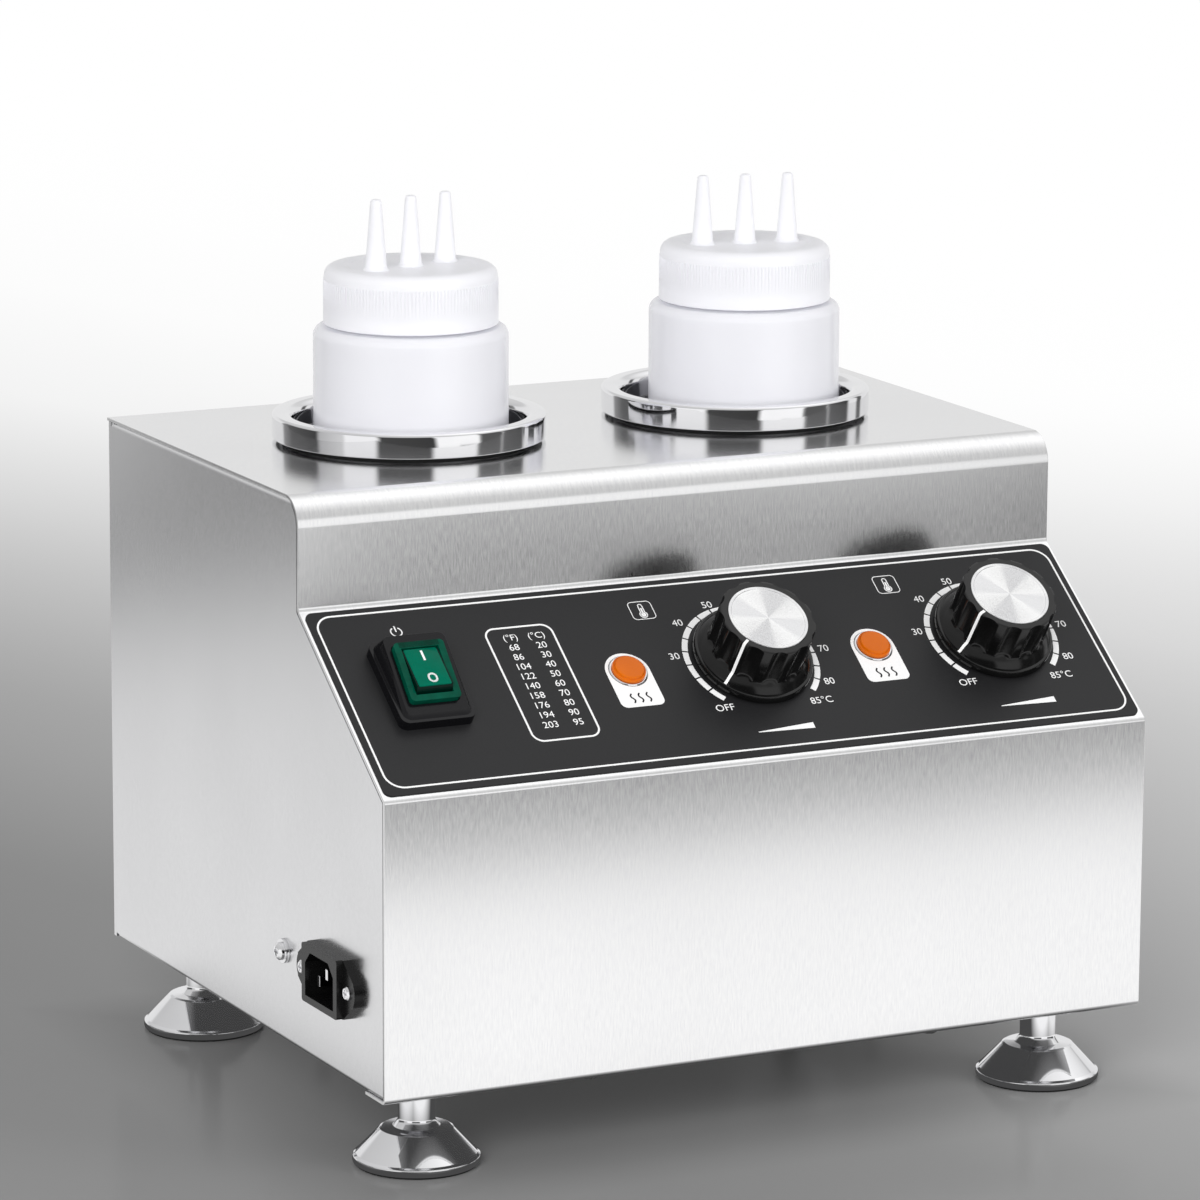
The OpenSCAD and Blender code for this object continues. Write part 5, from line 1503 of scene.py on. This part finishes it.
@dataclass
class Studio:
    """The floor, the surround, the lamps and the camera of the photograph.

    What polished metal shows is set apart from what lights the object: the floor is bright near the
    cabinet and darker further off, and light and dark sectors stand round it.

    Attributes:
        camera_at, azimuth, elevation, roll, focal_px, frame_px: the camera, in metres, degrees and pixels.
        sensor: width of the camera's sensor in millimetres.
        floor_edge: half the floor's width in metres.
        sheen, sheen_rough: share and roughness of the floor's own reflection.
        fade: where the floor changes from lit to plain, in metres from the object's middle.
        slant, floor_tones: direction and greys of the floor.
        metal_tones: greys of the floor in polished metal, from front to back.
        sectors, glare: greys round the object by angle, and the wider light further off.
        near_end, far_end: where the floor gives way to the sectors in polished metal, in metres.
        sky, even: greys overhead in polished metal, and the light that falls on all else.
        sky_span: the heights between which the sectors give way to the sky.
        paper_gain: how much brighter the lit floor is than it looks.
        footprint: half the cabinet's width and depth in metres; the floor's colour is darkened under it as a
            painted shadow.
        soft_light: direction of the soft light overhead.
        lamps: name, place, size and power of the lamps.
        aim: the point that the lamps look at.
    """

    camera_at: Point3 = (-1.01705, -2.0445, 0.6558)
    azimuth: float = -26.33923
    elevation: float = 11.84313
    roll: float = 0.28793
    focal_px: float = 6183.2
    frame_px: float = 1200.0
    sensor: float = 36.0
    floor_edge: float = 30.0
    sheen: float = 0.07
    sheen_rough: float = 0.16
    fade: Point2 = (0.55, 1.5)
    slant: Point2 = (1.43, 0.41)
    floor_tones: Stops = (
        (-0.40, 0.25), (-0.15, 0.265), (0.0, 0.30), (0.31, 0.455), (0.50, 0.59), (0.75, 0.745),
        (1.06, 0.90), (1.45, 0.975), (1.84, 0.995), (2.30, 1.0))
    metal_tones: Stops = (
        (-1.40, 0.30), (-1.08, 0.24), (-0.93, 0.22), (-0.80, 0.26), (-0.70, 0.32), (-0.62, 0.37), (-0.57, 0.50),
        (-0.535, 0.90), (-0.50, 1.09), (-0.25, 1.09), (-0.14, 0.90), (0.10, 0.87), (0.30, 0.84), (0.60, 0.79),
        (0.77, 0.68), (0.90, 0.43), (1.10, 0.20))
    sectors: Stops = (
        (-180.0, 0.84), (-131.0, 0.82), (-127.0, 0.28), (-114.0, 0.10), (-82.0, 0.06), (-78.0, 0.50),
        (-56.0, 0.70), (-53.0, 1.0), (-27.0, 1.0), (-23.0, 0.06), (20.0, 0.05), (24.0, 0.95),
        (41.0, 0.95), (43.0, 0.24), (60.0, 0.22), (64.0, 0.10), (84.0, 0.10), (86.0, 0.40),
        (89.0, 0.10), (111.0, 0.06), (115.0, 0.85), (126.0, 0.85), (129.0, 0.12), (135.0, 0.12),
        (138.0, 0.82), (180.0, 0.84))
    glare: Point3 = (24.0, 60.0, 1.05)
    near_end: Point2 = (1.12, 1.24)
    far_end: Point2 = (1.5, 1.7)
    sky: Stops = ((-1.0, 0.55), (0.30, 0.60), (0.75, 0.72), (0.90, 0.95), (1.0, 1.25))
    even: Stops = ((0.0, 0.95), (1.0, 0.20))
    sky_span: Point2 = (0.27, 0.40)
    paper_gain: float = 1.3
    footprint: Point2 = (0.155, 0.1285)
    soft_light: Point3 = (0.43, 0.08, 0.89)
    lamps: tuple[tuple[str, Point3, Point2, float], ...] = (
        ("key_left", (-1.4, -1.6, 0.9), (1.2, 1.2), 30.0), ("fill_right", (1.5, -1.9, 0.8), (1.0, 1.4), 16.0))
    aim: Point3 = (0.0, 0.0, 0.15)

    def far_sectors(self) -> Stops:
        """The sectors as they are further off, where the light in front is wider."""
        first, last, tone = self.glare
        end, end_tone = last + 2.0, 0.32
        kept = [stop for stop in self.sectors if not first <= stop[0] <= end]
        return sorted([*kept, (first, tone), (last, tone), (end, end_tone)])

    def around(self, tree: Tree, arrow: Socket, sectors: Stops) -> Socket:
        """Light and dark sectors, by the angle from the camera's side.

        Args:
            tree: the tree.
            arrow: a direction or a place round the object.
            sectors: pairs of angle in degrees and grey.

        Returns:
            The socket with the grey.
        """
        turn = tree.add("VectorRotate", {"Vector": arrow}, rotation_type="Z_AXIS")
        tree.feed(turn.inputs["Angle"], math.radians(90.0 - self.azimuth))
        at = tree.split(turn.outputs["Vector"])
        return tree.tones(tree.math("DEGREES", tree.math("ARCTAN2", at["Y"], at["X"])), sectors)

    def painted_footprint_shadow(self, tree: Tree, at: dict[str, Socket], edge: Point2, share: Point2) -> Socket:
        """How much of the floor's tone is left on the way out from under the cabinet: a shadow painted into the
        floor's colour.

        Args:
            tree: the tree.
            at: the place's X and Y.
            edge: how far outside the cabinet's footprint the change begins and ends, in metres.
            share: the shares of the tone before and after it.

        Returns:
            The socket with the share.
        """
        reach = [tree.math("SUBTRACT", tree.math("ABSOLUTE", at[axis]), half)
                 for axis, half in zip("XY", self.footprint)]
        return tree.ranged(tree.math("MAXIMUM", *reach), edge, share)

    def seen_in_metal(self, tree: Tree, place: Socket, at: dict[str, Socket], far: Socket) -> Socket:
        """What polished metal shows of the floor, with a shadow painted under the cabinet.

        Args:
            tree: the tree.
            place: the place on the floor.
            at: its X and Y.
            far: its distance from the object's middle.

        Returns:
            The socket with the grey.
        """
        near_tone = tree.tones(at["Y"], self.metal_tones)
        # in front, the sectors begin nearer
        reach = tree.math("ADD", far, tree.ranged(at["Y"], (-0.3, 0.0), (0.2, 0.0)))
        shown = tree.blend(reach, self.near_end, near_tone, self.around(tree, place, self.sectors))
        shown = tree.blend(reach, self.far_end, shown, self.around(tree, place, self.far_sectors()))
        # under the cabinet the floor that metal shows is nearly black: a painted shadow, since this floor gets
        # no real one
        return tree.dimmed(shown, self.painted_footprint_shadow(tree, at, (0.0, 0.065), (0.08, 1.0)))

    def floor(self) -> None:
        """A plain floor, grey in front on the left and white far behind, with the object's shadow and a shadow
        painted under the cabinet.
        """
        data, edge = bpy.data.meshes.new("floor"), self.floor_edge
        data.from_pydata([(-edge, -edge, 0.0), (edge, -edge, 0.0), (edge, edge, 0.0), (-edge, edge, 0.0)], [],
                         [(0, 1, 2, 3)])
        made = placed("floor", data)
        look = bpy.data.materials.new("floor_look")
        look.use_nodes = True
        nodes, tree = look.node_tree.nodes, Tree(look.node_tree)
        nodes.remove(nodes["Principled BSDF"])
        place = tree.add("TexCoord").outputs["Object"]
        at, far = tree.split(place), tree.vector("LENGTH", "Value", {0: place})
        run = tree.vector("DOT_PRODUCT", "Value", {0: place, 1: (*self.slant, 0.0)})
        seen = tree.tones(run, self.floor_tones)
        # lit near the object, plain further off; under the cabinet the lit colour is darkened, a painted shadow
        lit = tree.dimmed(seen, self.painted_footprint_shadow(tree, at, (-0.02, 0.03), (0.8 * self.paper_gain, self.paper_gain)))
        paper = tree.add("BsdfDiffuse", {"Color": lit}).outputs["BSDF"]
        shine = tree.add("BsdfAnisotropic", {"Roughness": self.sheen_rough}).outputs["BSDF"]
        plain = tree.add("Emission", {"Color": seen}).outputs["Emission"]
        ground = tree.shared(tree.ranged(far, self.fade, ease="SMOOTHSTEP"),
                             tree.shared(self.sheen, paper, shine), plain)
        mirror = tree.add("Emission", {"Color": self.seen_in_metal(tree, place, at, far)}).outputs["Emission"]
        split = tree.shared(tree.add("LightPath").outputs["Is Glossy Ray"], ground, mirror)
        tree.feed(nodes["Material Output"].inputs["Surface"], split)
        data.materials.append(look)

    def lamp(self, name: str, spot: Point3, size: Point2, power: float) -> None:
        """A soft rectangular lamp aimed at the object, which metal doesn't mirror.

        Args:
            name: its name.
            spot: its place in metres.
            size: its width and height in metres.
            power: its power in watts.
        """
        data = bpy.data.lights.new(name, "AREA")
        data.shape, data.energy = "RECTANGLE", power
        data.size, data.size_y = size
        made = placed(name, data)
        made.location = spot
        made.visible_glossy = False
        made.rotation_euler = (Vector(self.aim) - Vector(spot)).to_track_quat("-Z", "Y").to_euler()

    def world(self) -> None:
        """An even pale surround, with sectors and a soft light overhead for polished metal."""
        scene = bpy.context.scene
        scene.world = scene.world or bpy.data.worlds.new("surround")
        scene.world.use_nodes = True
        tree = Tree(scene.world.node_tree)
        tree.tree.nodes.clear()
        arrow = tree.add("TexCoord").outputs["Generated"]
        at, soft = tree.split(arrow), Vector(self.soft_light).normalized()
        high = tree.tones(tree.vector("DOT_PRODUCT", "Value", {0: arrow, 1: soft}), self.sky)
        shown = tree.blend(at["Z"], self.sky_span, self.around(tree, arrow, self.far_sectors()), high)
        even, mirror = (tree.add("Background", {"Color": colour}).outputs["Background"]
                        for colour in (tree.tones(at["Z"], self.even), shown))
        split = tree.shared(tree.add("LightPath").outputs["Is Glossy Ray"], even, mirror)
        tree.add("OutputWorld", {"Surface": split})

    def camera(self) -> None:
        """The camera of the photograph."""
        a, e, r = (math.radians(v) for v in (self.azimuth, self.elevation, self.roll))
        back = Vector((math.sin(a) * math.cos(e), -math.cos(a) * math.cos(e), math.sin(e)))
        right = Vector((math.cos(a), math.sin(a), 0.0))
        up = back.cross(right)
        right, up = (math.cos(r) * right + math.sin(r) * up, -math.sin(r) * right + math.cos(r) * up)
        data = bpy.data.cameras.new("camera")
        data.sensor_width, data.sensor_fit = self.sensor, "HORIZONTAL"
        data.lens = self.focal_px / self.frame_px * self.sensor
        data.clip_end = 100.0
        made = placed("camera", data)
        made.matrix_world = Matrix.Translation(self.camera_at) @ Matrix((right, up, back)).transposed().to_4x4()
        bpy.context.scene.camera = made

    def build(self) -> None:
        """Builds the studio."""
        self.floor()
        self.world()
        for name, spot, size, power in self.lamps:
            self.lamp(name, spot, size, power)
        self.camera()
        bpy.context.scene.view_settings.view_transform = "Standard"


def main() -> None:
    """Builds every sub-assembly in order."""
    logging.basicConfig(level=logging.INFO, format="%(name)s: %(message)s")
    assemblies = [Cabinet(), Panel(), Switch(), *(Lamp(n) for n in (1, 2)), *(Knob(n) for n in (1, 2)),
                  *(Well(n) for n in (1, 2)), *(Bottle(n) for n in (1, 2)), Inlet(),
                  *(Foot(n) for n in (1, 2, 3, 4)), InnerParts(), Studio()]
    for assembly in assemblies:
        assembly.build()
        LOG.info("built %s", type(assembly).__name__)


if __name__ == "__main__":
    main()
